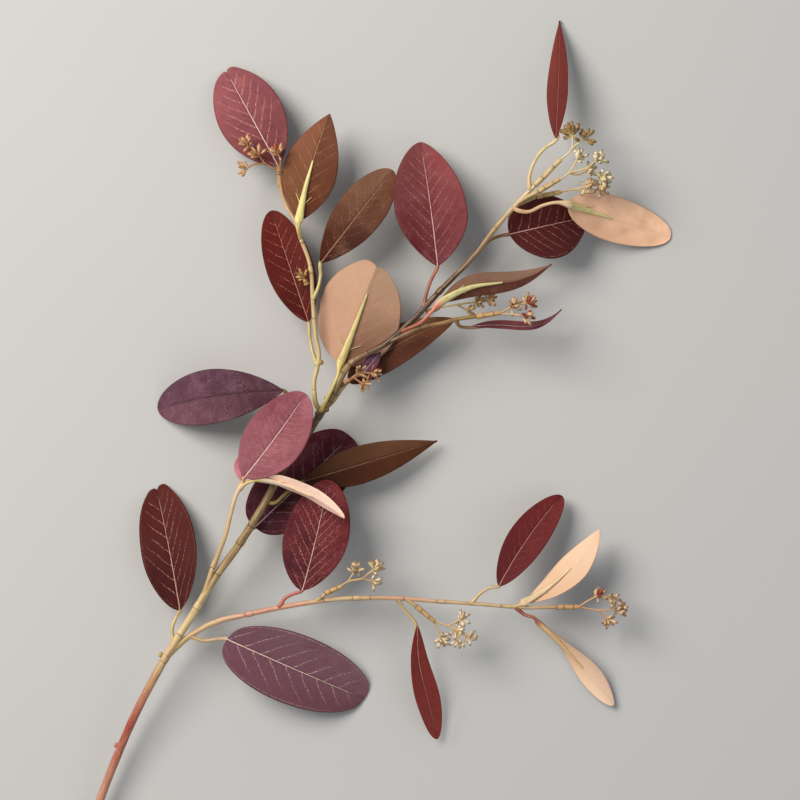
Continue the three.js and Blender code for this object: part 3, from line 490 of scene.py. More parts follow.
# The unprinted back, in the same way. A blade lying face down shows it.
BACK = cloth_look(tones="94644c 8c5c46 9c6c54 94644c", spacing=9, vein="b88c70", light=0.2,
                  midrib="a87c60", dark=0.1, speck=0.1)
BACKS = {
    # Its own left half is darker than its right partly as painted shade on that half of the fold.
    "leaf_fork_round": dict(
        tones="7a5440 a6806a a28068 ac8870", vein="e4c4a8", light=0.45, split=0.1, mottle="a87e66",
        depth=1.35, dusk=0.12, margin=0.3),
    "leaf_twig_front": dict(
        tones="743c24 84502e 90583e 9c6044", vein="c89878", light=0.8, split=0.12, midrib="b88868"),
    # Its own left half is darker than its right partly as painted shade on that half of the fold.
    "leaf_crown_narrow": dict(
        tones="6c4028 8c6450 70403a 94725e", depth=0.95, vein="a88468", light=0.15, split=0.15),
    # These four pale peach backs are partly a paler cloth and partly painted light: their
    # brightness and raised depth stand in for direct light on them and light glowing through the
    # cloth.
    "leaf_crown_side": dict(
        tones="d8a888 e2b496 e4b492 ecbe9c", vein="f0ccac", light=0.25, dark=0.05, mottle="ce9e7e",
        depth=1.28, dusk=0, dimples=1.0, midrib="f0cfae", shade=0.1),
    "leaf_mid_pale": dict(
        tones="f0c8ac f6d2b8 f8d0ba fad6c2", vein="fbe0cc", light=0.2, dark=0.05, mottle="f0c4a4",
        depth=1.35, dusk=0, midrib="fbe6d4", shade=0.05),
    "leaf_branch_pale": dict(
        tones="e8bc98 f2c8a4 f8d0b0 fad4b4", vein="fbe0cc", light=0.2, dark=0.05, mottle="f0c4a0",
        depth=0.85, dusk=0, midrib="fbe6d4", shade=0.1),
    "leaf_branch_end": dict(
        tones="e0b48c ecc4a0 f4d0b2 eec6ac", vein="fbe0cc", light=0.2, dark=0.05, mottle="e8bc98",
        depth=1.0, dusk=0, midrib="f4e0b8", shade=0.1),
}
# Small nicks in the end of a blade, and lobes beside them where the depth is below zero: how far
# from its middle line, how wide and how deep, mm.
NICKS = {
    "leaf_lower_left": ((0.2, 1.0, 1.7), (6, 4.5, -2.2), (-4.5, 3, -0.8)),
    "leaf_fork_round": ((0.0, 1.3, 1.2), (9, 8, -2.2), (-6, 5, -0.8)),
    "leaf_twig_end": ((0.0, 0.9, 1.4), (5, 4, -1.4)),
}

# Buds of each seed head: neck, body and tip. red is the share that is rust red instead.
SEED_TINTS = {
    "seed_head_twig": dict(tints="a87444 d8a878 a45c34", red=0.05, size=1.15),
    "seed_head_twig_inner": dict(tints="a88848 c09c58 74502c", red=0.05, size=1.0),
    "seed_head_crown_left": dict(tints="dcca94 b08e54 6c4a24", red=0, size=1.35),
    "seed_head_crown_middle": dict(tints="d0b880 f2e4bc 84602c", red=0, size=1.2),
    "seed_head_crown_right": dict(tints="d0b480 e8ca9c 7c4828", red=0, size=1.2),
    "seed_head_shoulder": dict(tints="c8ac70 cca674 7c5430", red=0.05, size=1.1),
    "seed_head_branchlet": dict(tints="c09c70 dcb88c a06c44", red=0.1, size=1.1),
    "seed_head_fork": dict(tints="a4704a b88a64 d0a880", red=0.1, size=1.05),
    "seed_head_branch_upper": dict(tints="c8a470 e8d0a4 8c6434", red=0, size=1.1),
    "seed_head_branch_lower": dict(tints="d0ac78 ecd6b0 8c6038", red=0.03, size=1.1),
    "seed_head_branch_end": dict(tints="c89c70 e0c094 783c28", red=0.15, size=1.1),
}
SLEEVE_TINT = "b88c54"
RED_TINTS = "a05038 a8402e 7c2c24"


def linear(code):
    """A six-digit sRGB colour as linear red, green and blue."""
    values = np.array([int(code[i:i + 2], 16) / 255 for i in (0, 2, 4)])
    return np.where(values <= 0.04045, values / 12.92, ((values + 0.055) / 1.055) ** 2.4)


# ---- Curves and sweeps --------------------------------------------------------------------
def smoothstep(x, low, high):
    s = np.clip((np.asarray(x, float) - low) / (high - low), 0, 1)
    return s * s * (3 - 2 * s)


def unit(vectors):
    return vectors / np.maximum(np.linalg.norm(vectors, axis=-1, keepdims=True), 1e-12)


def smooth_route(places):
    """A centripetal Catmull-Rom curve through the places, SPAN_STEPS points for each span."""
    p = np.array(places, float)
    p = np.vstack([2 * p[0] - p[1], p, 2 * p[-1] - p[-2]])
    out = [p[1:2]]
    s = np.linspace(0, 1, SPAN_STEPS + 1)[1:, None]
    for a, b, c, d in zip(p, p[1:], p[2:], p[3:]):
        before, here, after = [math.sqrt(np.linalg.norm(v)) for v in (b - a, c - b, d - c)]
        leave = ((b - a) / before - (c - a) / (before + here) + (c - b) / here) * here
        arrive = ((c - b) / here - (d - b) / (here + after) + (d - c) / after) * here
        out.append(b + leave * s + (3 * (c - b) - 2 * leave - arrive) * s ** 2
                   + (2 * (b - c) + leave + arrive) * s ** 3)
    return np.vstack(out)


def lengths_along(path):
    return np.concatenate([[0], np.cumsum(np.linalg.norm(np.diff(path, axis=0), axis=1))])


def at_lengths(path, values, where):
    """Values given at a path's points, read at other distances along it."""
    along = lengths_along(path)
    values = np.asarray(values, float)
    if values.ndim == 1:
        return np.interp(where, along, values)
    return np.stack([np.interp(where, along, column) for column in values.T], axis=1)


class Shell:
    """The points, faces and colours of one piece, gathered from its sweeps."""

    def __init__(self):
        self.points, self.faces, self.tints, self.grains, self.darks = [], [], [], [], []
        self.count = 0

    def add(self, points, faces, tints, grains, darks):
        self.points.append(points)
        self.faces += [tuple(i + self.count for i in face) for face in faces]
        self.tints.append(tints)
        self.grains.append(grains)
        self.darks.append(darks)
        self.count += len(points)

    def piece(self, node, material):
        mesh = bpy.data.meshes.new(node + "_detail")
        points = (np.vstack(self.points) + [FORK[0], FORK[1], 0]) * MM
        mesh.from_pydata(points.tolist(), [], self.faces)
        tint = mesh.attributes.new("Tint", "FLOAT_COLOR", "POINT")
        tints = np.column_stack([np.vstack(self.tints), np.ones(self.count)])
        tint.data.foreach_set("color", tints.astype(np.float32).ravel())
        grain = mesh.attributes.new("Grain", "FLOAT_VECTOR", "POINT")
        grain.data.foreach_set("vector", np.vstack(self.grains).astype(np.float32).ravel())
        dark = mesh.attributes.new("Dark", "FLOAT", "POINT")
        dark.data.foreach_set("value", np.concatenate(self.darks).astype(np.float32))
        return finished(mesh, node, [material])


def finished(mesh, node, materials):
    mesh.shade_smooth()
    mesh.validate()
    for material in materials:
        mesh.materials.append(material)
    piece = bpy.data.objects.new(node + "_detail", mesh)
    bpy.context.scene.collection.objects.link(piece)
    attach(piece, "root")
    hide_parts(node)
    return piece


def side_vectors(path, along, reference=None):
    """One direction across the path at each point, turned as little as possible on the way."""
    if reference is not None:
        reference = np.broadcast_to(reference, along.shape)
        return unit(reference - (reference * along).sum(1)[:, None] * along)
    start = np.array([0, 0, 1.0]) if abs(along[0, 2]) < 0.9 else np.array([1.0, 0, 0])
    sides = [unit(np.cross(along[0], start))]
    for direction in along[1:]:
        last = sides[-1]
        sides.append(unit(last - last.dot(direction) * direction))
    return np.array(sides)


def sweep(shell, path, radii, tints, random, sides=18, reference=None, breadth=1.0, darks=0.0,
          uneven=1.0, end=0.6):
    """A round bar along a path. radii, tints, breadth and darks are values along the path."""
    count = len(path)
    along = unit(np.gradient(path, axis=0))
    radii = np.broadcast_to(np.asarray(radii, float), count)
    breadth = np.broadcast_to(np.asarray(breadth, float), count)
    darks = np.broadcast_to(np.asarray(darks, float), count)
    across = side_vectors(path, along, reference)
    over = np.cross(along, across)
    run = lengths_along(path)
    # rounded ends
    caps = np.radians([75, 50, 25])
    first = [(path[0] - along[0] * radii[0] * end * math.sin(a), math.cos(a)) for a in caps]
    last = [(path[-1] + along[-1] * radii[-1] * end * math.sin(a), math.cos(a))
            for a in caps[::-1]]
    centres = np.vstack([[p for p, _ in first], path, [p for p, _ in last]])
    scale = np.concatenate([[k for _, k in first], np.ones(count), [k for _, k in last]])
    index = np.clip(np.arange(len(centres)) - len(first), 0, count - 1)
    turn = np.linspace(0, 2 * math.pi, sides, endpoint=False)
    phase = random.uniform(0, 2 * math.pi, 4)
    s = run[index][:, None]
    wobble = 1 + uneven * (0.022 * np.sin(3 * turn + phase[0] + s * 0.05)
                           + 0.016 * np.sin(5 * turn + phase[1] - s * 0.08)
                           + 0.022 * np.sin(s / 4.7 + phase[2])
                           + 0.018 * np.sin(s / 2.1 + turn * 2 + phase[3]))
    r = (radii[index] * scale)[:, None] * wobble
    points = (centres[:, None]
              + across[index][:, None] * (r * breadth[index][:, None] * np.cos(turn))[..., None]
              + over[index][:, None] * (r * np.sin(turn))[..., None])
    rings = len(centres)
    grains = np.stack([np.cos(turn) * r, np.sin(turn) * r, s + 0 * r], axis=2)
    # a point closes each end
    tips = np.array([path[0] - along[0] * radii[0] * end, path[-1] + along[-1] * radii[-1] * end])
    verts = np.vstack([points.reshape(-1, 3), tips])
    faces = []
    for i in range(rings - 1):
        for j in range(sides):
            k = (j + 1) % sides
            faces.append((i * sides + j, i * sides + k, (i + 1) * sides + k, (i + 1) * sides + j))
    start, stop = rings * sides, rings * sides + 1
    for j in range(sides):
        k = (j + 1) % sides
        faces.append((start, k, j))
        faces.append((stop, (rings - 1) * sides + j, (rings - 1) * sides + k))
    tints = np.broadcast_to(tints, (count, 3))
    colours = np.vstack([np.repeat(tints[index], sides, axis=0), tints[0], tints[-1]])
    ends = [[0, 0, run[0]], [0, 0, run[-1]]]
    # painted shade: the sides and underside of each bar are darkened and its top left light, as
    # light from above would fall; it joins the darks of rings and joints
    facing = (across[index][:, None] * np.cos(turn)[:, None]
              + over[index][:, None] * np.sin(turn)[:, None])[..., 2]
    under = PAINTED_SIDE_SHADE * (1 - smoothstep(facing, -0.2, 0.8))
    shade = np.concatenate([np.maximum(darks[index][:, None], under).ravel(),
                            [darks[0], darks[-1]]])
    shell.add(verts, faces, colours, np.vstack([grains.reshape(-1, 3), ends]), shade)


def stations(length, step, marks=()):
    """Distances along a path, closer together around the marks."""
    places = list(np.linspace(0, length, max(2, int(round(length / step)) + 1)))
    for mark in marks:
        places += [mark + d for d in np.arange(-2.4, 2.41, 0.4) if 0 < mark + d < length]
    return np.unique(np.round(places, 3))


def ring_marks(s, marks):
    """How much each growth ring thickens a stem, and how dark it is, at distances along it."""
    swell, dark = np.zeros_like(s), np.zeros_like(s)
    for mark in marks:
        groove = np.exp(-((s - mark) / 0.38) ** 2)
        lips = np.exp(-((s - mark - 1.15) / 0.7) ** 2) + np.exp(-((s - mark + 1.15) / 0.7) ** 2)
        swell += 0.045 * lips - 0.1 * groove
        dark = np.maximum(dark, groove + 0.12 * lips)
    return swell, dark


# ---- Stems --------------------------------------------------------------------------------
def tints_of(route):
    for known, tints in ROUTE_TINTS:
        if known is route:
            return tints
    return None


def stem_run(shell, run, random):
    whole = smooth_route(run["route"])
    path = whole[run["from"] * SPAN_STEPS:run["to"] * SPAN_STEPS + 1]
    tints = tints_of(run["route"]) or PEG_TINTS
    spots = np.linspace(0, len(tints) - 1, len(whole))
    colours = np.stack([np.interp(spots, range(len(tints)), column)
                        for column in np.array([linear(t) for t in tints]).T], axis=1)
    colours = colours[run["from"] * SPAN_STEPS:run["to"] * SPAN_STEPS + 1]
    along = lengths_along(path)
    marks = []
    for ring in RINGS:
        gap = np.linalg.norm(path[:, :2] - ring, axis=1)
        if gap.min() < RING_REACH and 3 < along[gap.argmin()] < along[-1] - 3:
            marks.append(along[gap.argmin()])
    if run["route"] is MAIN_ROUTE:
        for spot in JOINT_SCALES:
            gap = np.linalg.norm(path[:, :2] - spot, axis=1)
            if gap.min() < SCALE_REACH:
                height = path[gap.argmin(), 2] + SCALE_LIFT
                nub(shell, [*spot, height], SCALE_TINT, random)
    collar = run["collar"]
    s = stations(along[-1], 1.6, marks + ([1.2, 5.0] if collar else []))
    swell, dark = ring_marks(s, marks)
    radii = np.interp(s, [0, along[-1]], run["radii"])
    radii = radii * (1 + swell)
    if collar:
        radii = radii + 0.3 * (1 - smoothstep(s, 3.6, 5.4)) * smoothstep(s, -0.3, 0.7)
        dark = dark + 1.0 * np.exp(-(s / 0.5) ** 2) + 0.35 * np.exp(-((s - 5.2) / 0.5) ** 2)
    sweep(shell, at_lengths(path, path, s), radii, at_lengths(path, colours, s), random,
          sides=22, darks=np.clip(dark, 0, 1), end=0.15)


def leaf_directions(leaf, t):
    base, tip = np.array(leaf["base"], float), np.array(leaf["tip"], float)
    along = unit(tip - base)
    front = unit(np.array([0, 0, 1.0]) - along * along[2])
    roll = -np.radians(leaf["roll"] + leaf["twist"] * (np.asarray(t, float) - 0.5))[..., None]
    front = front * np.cos(roll) + np.cross(along, front) * np.sin(roll)
    return base, tip, along, front, np.cross(along, front)


def outline_at(outline, t):
    t = np.asarray(t, float)
    rise = np.sin(np.pi / 2 * np.clip(t / outline["peak"], 0, 1)) ** outline["base"]
    fall = np.clip((t - outline["peak"]) / (1 - outline["peak"]), 0, 1)
    return np.where(t < outline["peak"], rise,
                    np.maximum(np.cos(np.pi / 2 * fall), 0) ** outline["tip"])


def half_width(leaf, t):
    """Half of a blade's width, and that as a share of the widest."""
    share = outline_at(OUTLINES[leaf["outline"]], t)
    return np.maximum(BLADE_NARROWEST, share * leaf["width"] / 2), share


def blade_points(leaf, t, v, lift, ruffle=None, nicks=()):
    """Places on a blade: t from base to tip, v from -1 to 1 across, lift out of the front."""
    t, v, lift = np.broadcast_arrays(*[np.asarray(x, float) for x in (t, v, lift)])
    base, tip, along, front, right = leaf_directions(leaf, t)
    straight_front, straight_right = [d[0] for d in leaf_directions(leaf, np.array([0.5]))[3:]]
    arc = 4 * t * (1 - t)
    half, breadth = half_width(leaf, t)
    fold = math.radians(leaf["fold"])
    bent = np.sqrt(v * v + CREASE ** 2) - CREASE
    turned = v / np.sqrt(v * v + CREASE ** 2)
    out = (half * bent * math.sin(fold) + lift * math.cos(fold))
    if ruffle is not None:
        out = out + ruffle
    aside = half * v * math.cos(fold) - turned * lift * math.sin(fold)
    forth = leaf["skew"] * breadth * v
    for middle, width, depth in nicks:
        forth = forth - depth * np.exp(-((aside - middle) / width) ** 2) * smoothstep(t, 0.85, 1)
    sway = leaf["sway"] * arc + leaf["wave"] * np.sin(2 * np.pi * t)
    return (base + (tip - base) * t[..., None] + along * forth[..., None]
            + straight_front * (leaf["bow"] * arc)[..., None] + straight_right * sway[..., None]
            + right * aside[..., None] + front * out[..., None])


def rib_radius(radii, q):
    return radii[0] + (radii[1] - radii[0]) * np.asarray(q, float) ** RIB_TAPER


def leafstalk(shell, name, random):
    """A leafstalk, the rib that it becomes under its blade, and the rib's two barbs."""
    leaf = LEAVES[name]
    reach = leaf["reach"]
    hidden = math.cos(math.radians(leaf["roll"])) > 0
    ends = HIDDEN_RIB_RADII if hidden else RIB_RADII

    def under(q):
        lift = -(CLOTH_THICKNESS / 2 + RIB_CLEARANCE + rib_radius(ends, q) * 0.85)
        return blade_points(leaf, reach * np.asarray(q, float), 0, lift)

    places = leaf["stalk"] + [under(q).tolist() for q in RIB_STATIONS]
    path = smooth_route(places)
    along = lengths_along(path)
    start = along[len(leaf["stalk"]) * SPAN_STEPS]
    s = stations(along[-1], 1.3)
    share = s / start
    swell = smoothstep(share, 0.72, 1)
    flare = 1 - smoothstep(share, 0, 0.35)
    stalk = STALK_RADIUS + (ends[0] - STALK_RADIUS) * swell + STALK_FLARE * flare
    q = np.clip((s - start) / (along[-1] - start), 0, 1)
    radii = np.where(s < start, stalk, rib_radius(ends, q))
    breadth = 1 + (0.15 if hidden else RIB_BREADTH - 1) * smoothstep(share, 0.8, 1.08)
    leave, base, rib = [linear(t) for t in STALK_TINTS[name].split()]
    tints = (leave + (base - leave) * smoothstep(share, 0.1, 0.9)[:, None]
             + (rib - base) * smoothstep(share, 0.9, 1.15)[:, None])
    right = leaf_directions(leaf, np.array([0.3]))[4][0]
    line = at_lengths(path, path, s)
    sweep(shell, line, radii, tints, random, sides=16, reference=right, breadth=breadth,
          darks=0.5 * np.exp(-(s / 1.5) ** 2), end=0.4)
    for side in (-1, 1):
        lift = -(CLOTH_THICKNESS / 2 + RIB_CLEARANCE + 0.4)
        barb_t = np.linspace(0.1, 0.24, 12)
        barb_v = side * np.linspace(0, 0.42, 12) ** 1.15
        barb = blade_points(leaf, barb_t, barb_v, lift)
        sweep(shell, barb, np.linspace(*BARB_RADII, 12), rib, random, sides=8, end=0.8)


def nub(shell, place, tint, random):
    """A small knob where a side shoot was cut off."""
    centre = np.array(place, float)
    path = centre + np.linspace(-1.5, 1.0, 9)[:, None] * unit(np.array([0.5, 0.35, 0.9]))
    radii = 1.62 * np.sqrt(1 - np.linspace(-0.6, 0.75, 9) ** 2) + 0.18
    dark = 0.5 * np.clip(np.linspace(-1.6, 1, 9), 0, 1)
    sweep(shell, path, radii, linear(tint), random, sides=14, darks=dark, end=0.3)


def stem_piece(stem, random, material):
    shell = Shell()
    for run in stem["runs"]:
        stem_run(shell, run, random)
    for place in stem.get("nubs", []):
        nub(shell, place, NUB_TINTS.get(stem["name"], PLAIN_NUB_TINT), random)
    for name in stem.get("leaves", []):
        leafstalk(shell, name, random)
    return shell.piece(stem["name"], material)


# ---- Seed heads ---------------------------------------------------------------------------
def bud(shell, start, direction, tints, random, size=1.0):
    length = size * BUD_LENGTH * random.uniform(0.88, 1.06)
    radius = size * BUD_RADIUS * random.uniform(0.86, 1.06)
    heights = np.array([h for h, _ in BUD_PROFILE])
    side = unit(np.cross(direction, [0.3, 0.5, 0.8]))
    lean = side * (heights ** 2 * random.uniform(-0.5, 0.5))[:, None]
    path = start + direction * (heights * length)[:, None] + lean
    neck, body, tip = [linear(t) * random.uniform(0.85, 1.12) for t in tints.split()]
    colours = (neck + (body - neck) * smoothstep(heights, 0.15, 0.5)[:, None]
               + (tip - body) * smoothstep(heights, 0.72, 0.98)[:, None])
    dark = 0.8 * np.exp(-((heights - 0.8) / 0.02) ** 2)
    radii = radius * np.array([r for _, r in BUD_PROFILE])
    sweep(shell, path, radii, colours, random, sides=11, darks=dark, uneven=1.6, end=0.3)


def seed_head(node, head, random, material):
    shell = Shell()
    look = SEED_TINTS[node]
    neck = linear(look["tints"].split()[0])
    a, b = [np.array(p, float) for p in head["sleeve"]]
    length = np.linalg.norm(b - a)
    marks = [length * f for f in ((0.3, 0.72) if length > 9 else (0.5,))]
    s = stations(length, 1.0, marks)
    swell, dark = ring_marks(s, marks)
    radii = np.interp(s, [0, length], SLEEVE_RADII) * (1 + swell)
    sleeve = (neck + linear(SLEEVE_TINT)) / 2
    sweep(shell, a + (b - a) * (s / length)[:, None], radii, sleeve, random, sides=18,
          darks=np.clip(dark + 0.7 * np.exp(-(s / 0.5) ** 2), 0, 1), end=0.2)
    for stalk in head["stalks"]:
        path = smooth_route(stalk["way"])
        s = stations(lengths_along(path)[-1], 1.1)
        line = at_lengths(path, path, s)
        radii = 0.6 + 0.16 * np.exp(-(s / 1.6) ** 2) + 0.22 * np.exp(-((s - s[-1]) / 1.2) ** 2)
        sweep(shell, line, radii, neck, random, sides=10, end=0.7)
        axis = unit(path[-1] - path[-3])
        centre = path[-1] - axis * BUD_SEAT
        across = unit(np.cross([0, 0, 1.0], axis))
        for i in range(stalk["buds"]):
            lean = BUD_SPREAD[0] + (BUD_SPREAD[1] - BUD_SPREAD[0]) * (i + 0.5) / stalk["buds"]
            tilted = axis * math.cos(lean) + np.cross(across, axis) * math.sin(lean)
            around = GOLDEN_ANGLE * i
            direction = (tilted * math.cos(around) + np.cross(axis, tilted) * math.sin(around)
                         + axis * axis.dot(tilted) * (1 - math.cos(around)))
            tints = RED_TINTS if random.random() < look["red"] else look["tints"]
            bud(shell, centre, unit(direction), tints, random, look["size"])
            # smaller buds beside it
            for size in SMALL_BUD_SIZES:
                beside = unit(direction + random.normal(0, 0.5, 3))
                seat = centre - axis * random.uniform(0, 1.8)
                bud(shell, seat, beside, tints, random, size * look["size"])
    return shell.piece(node, material)


# ---- Leaves -------------------------------------------------------------------------------
def vein_line(x, y, look):
    """How close a place on a blade is to a side vein, from 0 to 1."""
    slope = np.where(x < 0, look["slope"][0], look["slope"][1])
    step = (y - slope * np.abs(x) - look["bend"] * x * x) / look["spacing"]
    step = step + np.where(x < 0, 0.0, 0.42)
    return np.exp(-((step - np.round(step)) * look["spacing"] / 0.9) ** 2)


def blade_piece(node, leaf, random, materials):
    rows, columns = BLADE_ROWS, BLADE_COLUMNS
    t = (1 - np.cos(np.linspace(0, math.pi, rows + 1))) / 2
    v = np.linspace(-1, 1, columns + 1)
    v = np.sign(v) * (0.65 * np.abs(v) + 0.35 * (1 - (1 - np.abs(v)) ** 2))
    v, t = np.meshgrid(v, t)
    length = float(np.linalg.norm(np.subtract(leaf["tip"], leaf["base"])))
    across = half_width(leaf, t)[0] * v
    along = t * length
    phase = random.uniform(0, 2 * math.pi, 6)
    size = min(1.0, np.ptp(across) / 36)
    turns = random.uniform(1.4, 2.6, 2)
    edge = np.where(v < 0, np.sin(2 * math.pi * turns[0] * t + phase[0]),
                    np.sin(2 * math.pi * turns[1] * t + phase[1]))
    ruffle = (0.55 * size * np.abs(v) ** 2.5 * edge * smoothstep(t, 0.05, 0.3)
              + 0.22 * size * np.sin(along / 9 + phase[2]) * np.sin(across / 6 + phase[3])
              * np.abs(v))
    look = FRONTS[node]
    fade = smoothstep(np.abs(v), 0, 0.1) * (1 - smoothstep(np.abs(v), 0.72, 0.95))
    relief = (-0.12 * vein_line(across, along, look) * fade * min(1, look["light"] + 0.3)
              - 0.2 * np.exp(-(across / 0.75) ** 2) * (1 - smoothstep(t, 0.8, 0.97)))
    dimples = BACKS.get(node, {}).get("dimples", 0)
    relief = relief + (dimples * np.sin(across / 2.6 + phase[4]) * np.sin(along / 3.4 + phase[5])
                       * (1 - np.abs(v)) * smoothstep(np.abs(v), 0, 0.3))
    thin = 1 - 0.45 * smoothstep(np.abs(v), 0.93, 1)
    half = CLOTH_THICKNESS / 2 * thin
    nicks = NICKS.get(node, ())
    front = blade_points(leaf, t, v, half, ruffle + relief, nicks)
    back = blade_points(leaf, t, v, -half, ruffle + relief * 0.7, nicks)
    per = (rows + 1) * (columns + 1)
    points = np.vstack([front.reshape(-1, 3), back.reshape(-1, 3)])
    # each blade's faces: front, back, and the cut edge all round
    grid = np.arange(per).reshape(rows + 1, columns + 1)
    a, b, c, d = [g.ravel() for g in (grid[:-1, :-1], grid[:-1, 1:], grid[1:, 1:], grid[1:, :-1])]
    faces = [tuple(f) for f in np.column_stack([a, b, c, d]).tolist()]
    faces += [tuple(f) for f in (np.column_stack([d, c, b, a]) + per).tolist()]
    rim = np.concatenate([grid[0, :], grid[1:, -1], grid[-1, -2::-1], grid[-2:0:-1, 0]])
    following = np.roll(rim, -1)
    faces += [tuple(f) for f in np.column_stack([following, rim, rim + per,
                                                 following + per]).tolist()]
    mesh = bpy.data.meshes.new(node + "_detail")
    mesh.from_pydata(((points + [FORK[0], FORK[1], 0]) * MM).tolist(), [], faces)
    half_count = rows * columns
    mesh.polygons.foreach_set("material_index", np.concatenate([
        np.zeros(half_count, int), np.ones(half_count, int),
        np.zeros(len(rim), int)]).astype(np.int32))
    flat = np.stack([np.tile(across.ravel(), 2), np.tile(along.ravel(), 2),
                     np.zeros(2 * per)], axis=1)
    place = np.stack([np.tile(v.ravel(), 2), np.tile(t.ravel(), 2), np.zeros(2 * per)], axis=1)
    for name, values in (("Blade", flat), ("Place", place)):
        attribute = mesh.attributes.new(name, "FLOAT_VECTOR", "POINT")
        attribute.data.foreach_set("vector", values.astype(np.float32).ravel())
    bake_map(mesh, across, along, per, half_count)
    return finished(mesh, node, materials)


def bake_map(mesh, across, along, per, half_count):
    """Lays the front in the map's left half and the back in its right half."""
    wide = max(2 * np.abs(across).max(), along.max() * 0.42)
    u = 0.25 + across.ravel() / wide * 0.46
    w = 0.02 + along.ravel() / along.max() * 0.93
    layer = mesh.uv_layers.new(name="OFBake")
    corners = np.zeros(len(mesh.loops), np.int32)
    mesh.loops.foreach_get("vertex_index", corners)
    behind = corners >= per
    vertex = corners % per
    uv = np.column_stack([u[vertex] + 0.5 * behind, w[vertex]])
    rim_start = 2 * half_count * 4
    uv[rim_start:, 0] = 0.02 + 0.96 * (np.arange(len(uv) - rim_start) / (len(uv) - rim_start))
    uv[rim_start:, 1] = 0.965 + 0.025 * behind[rim_start:]
    layer.data.foreach_set("uv", uv.astype(np.float32).ravel())


# ---- Materials ----------------------------------------------------------------------------
class Nodes:
    """Builds one material's nodes."""

    def __init__(self, name):
        self.material = bpy.data.materials.new(name)
        self.material.use_nodes = True
        self.tree = self.material.node_tree
        self.shader = self.tree.nodes["Principled BSDF"]

    def put(self, socket, value):
        if isinstance(value, bpy.types.NodeSocket):
            self.tree.links.new(value, socket)
        elif isinstance(value, str):
            socket.default_value = (*linear(value), 1)
        else:
            socket.default_value = value

    def add(self, kind, **settings):
        node = self.tree.nodes.new(kind)
        for key, value in settings.items():
            setattr(node, key, value)
        return node

    def maths(self, operation, *values, clamp=False):
        node = self.add("ShaderNodeMath", operation=operation, use_clamp=clamp)
        for socket, value in zip(node.inputs, values):
            self.put(socket, value)
        return node.outputs[0]

    def times(self, a, b):
        return self.maths("MULTIPLY", a, b)

    def affine(self, value, factor, offset):
        return self.maths("MULTIPLY_ADD", value, factor, offset)

    def attribute(self, name):
        return self.add("ShaderNodeAttribute", attribute_name=name)

    def split(self, vector):
        node = self.add("ShaderNodeSeparateXYZ")
        self.put(node.inputs[0], vector)
        return node.outputs

    def joined(self, *values):
        node = self.add("ShaderNodeCombineXYZ")
        for socket, value in zip(node.inputs, values):
            self.put(socket, value)
        return node.outputs[0]

    def ramp(self, value, low, high, start=0.0, stop=1.0):
        """Smooth from start to stop as the value goes from low to high."""
        node = self.add("ShaderNodeMapRange", interpolation_type="SMOOTHSTEP")
        for socket, given in zip(node.inputs, (value, low, high, start, stop)):
            self.put(socket, given)
        return node.outputs[0]

    def noise(self, vector, scale, detail=2.0, rough=0.5):
        node = self.add("ShaderNodeTexNoise")
        self.put(node.inputs["Vector"], vector)
        self.put(node.inputs["Scale"], scale)
        self.put(node.inputs["Detail"], detail)
        self.put(node.inputs["Roughness"], rough)
        return node.outputs[0]

    def mix(self, amount, a, b, blend="MIX"):
        node = self.add("ShaderNodeMix", data_type="RGBA", blend_type=blend)
        self.put(node.inputs[0], amount)
        self.put(node.inputs[6], a)
        self.put(node.inputs[7], b)
        return node.outputs[2]

    def bump(self, height, distance, strength=1.0):
        node = self.add("ShaderNodeBump")
        self.put(node.inputs["Height"], height)
        node.inputs["Distance"].default_value = distance * MM
        node.inputs["Strength"].default_value = strength
        self.put(self.shader.inputs["Normal"], node.outputs[0])

    def finish(self, colour, roughness, **fixed):
        self.put(self.shader.inputs["Base Color"], colour)
        self.put(self.shader.inputs["Roughness"], roughness)
        for name, value in fixed.items():
            self.shader.inputs[name.replace("_", " ")].default_value = value
        return self.material


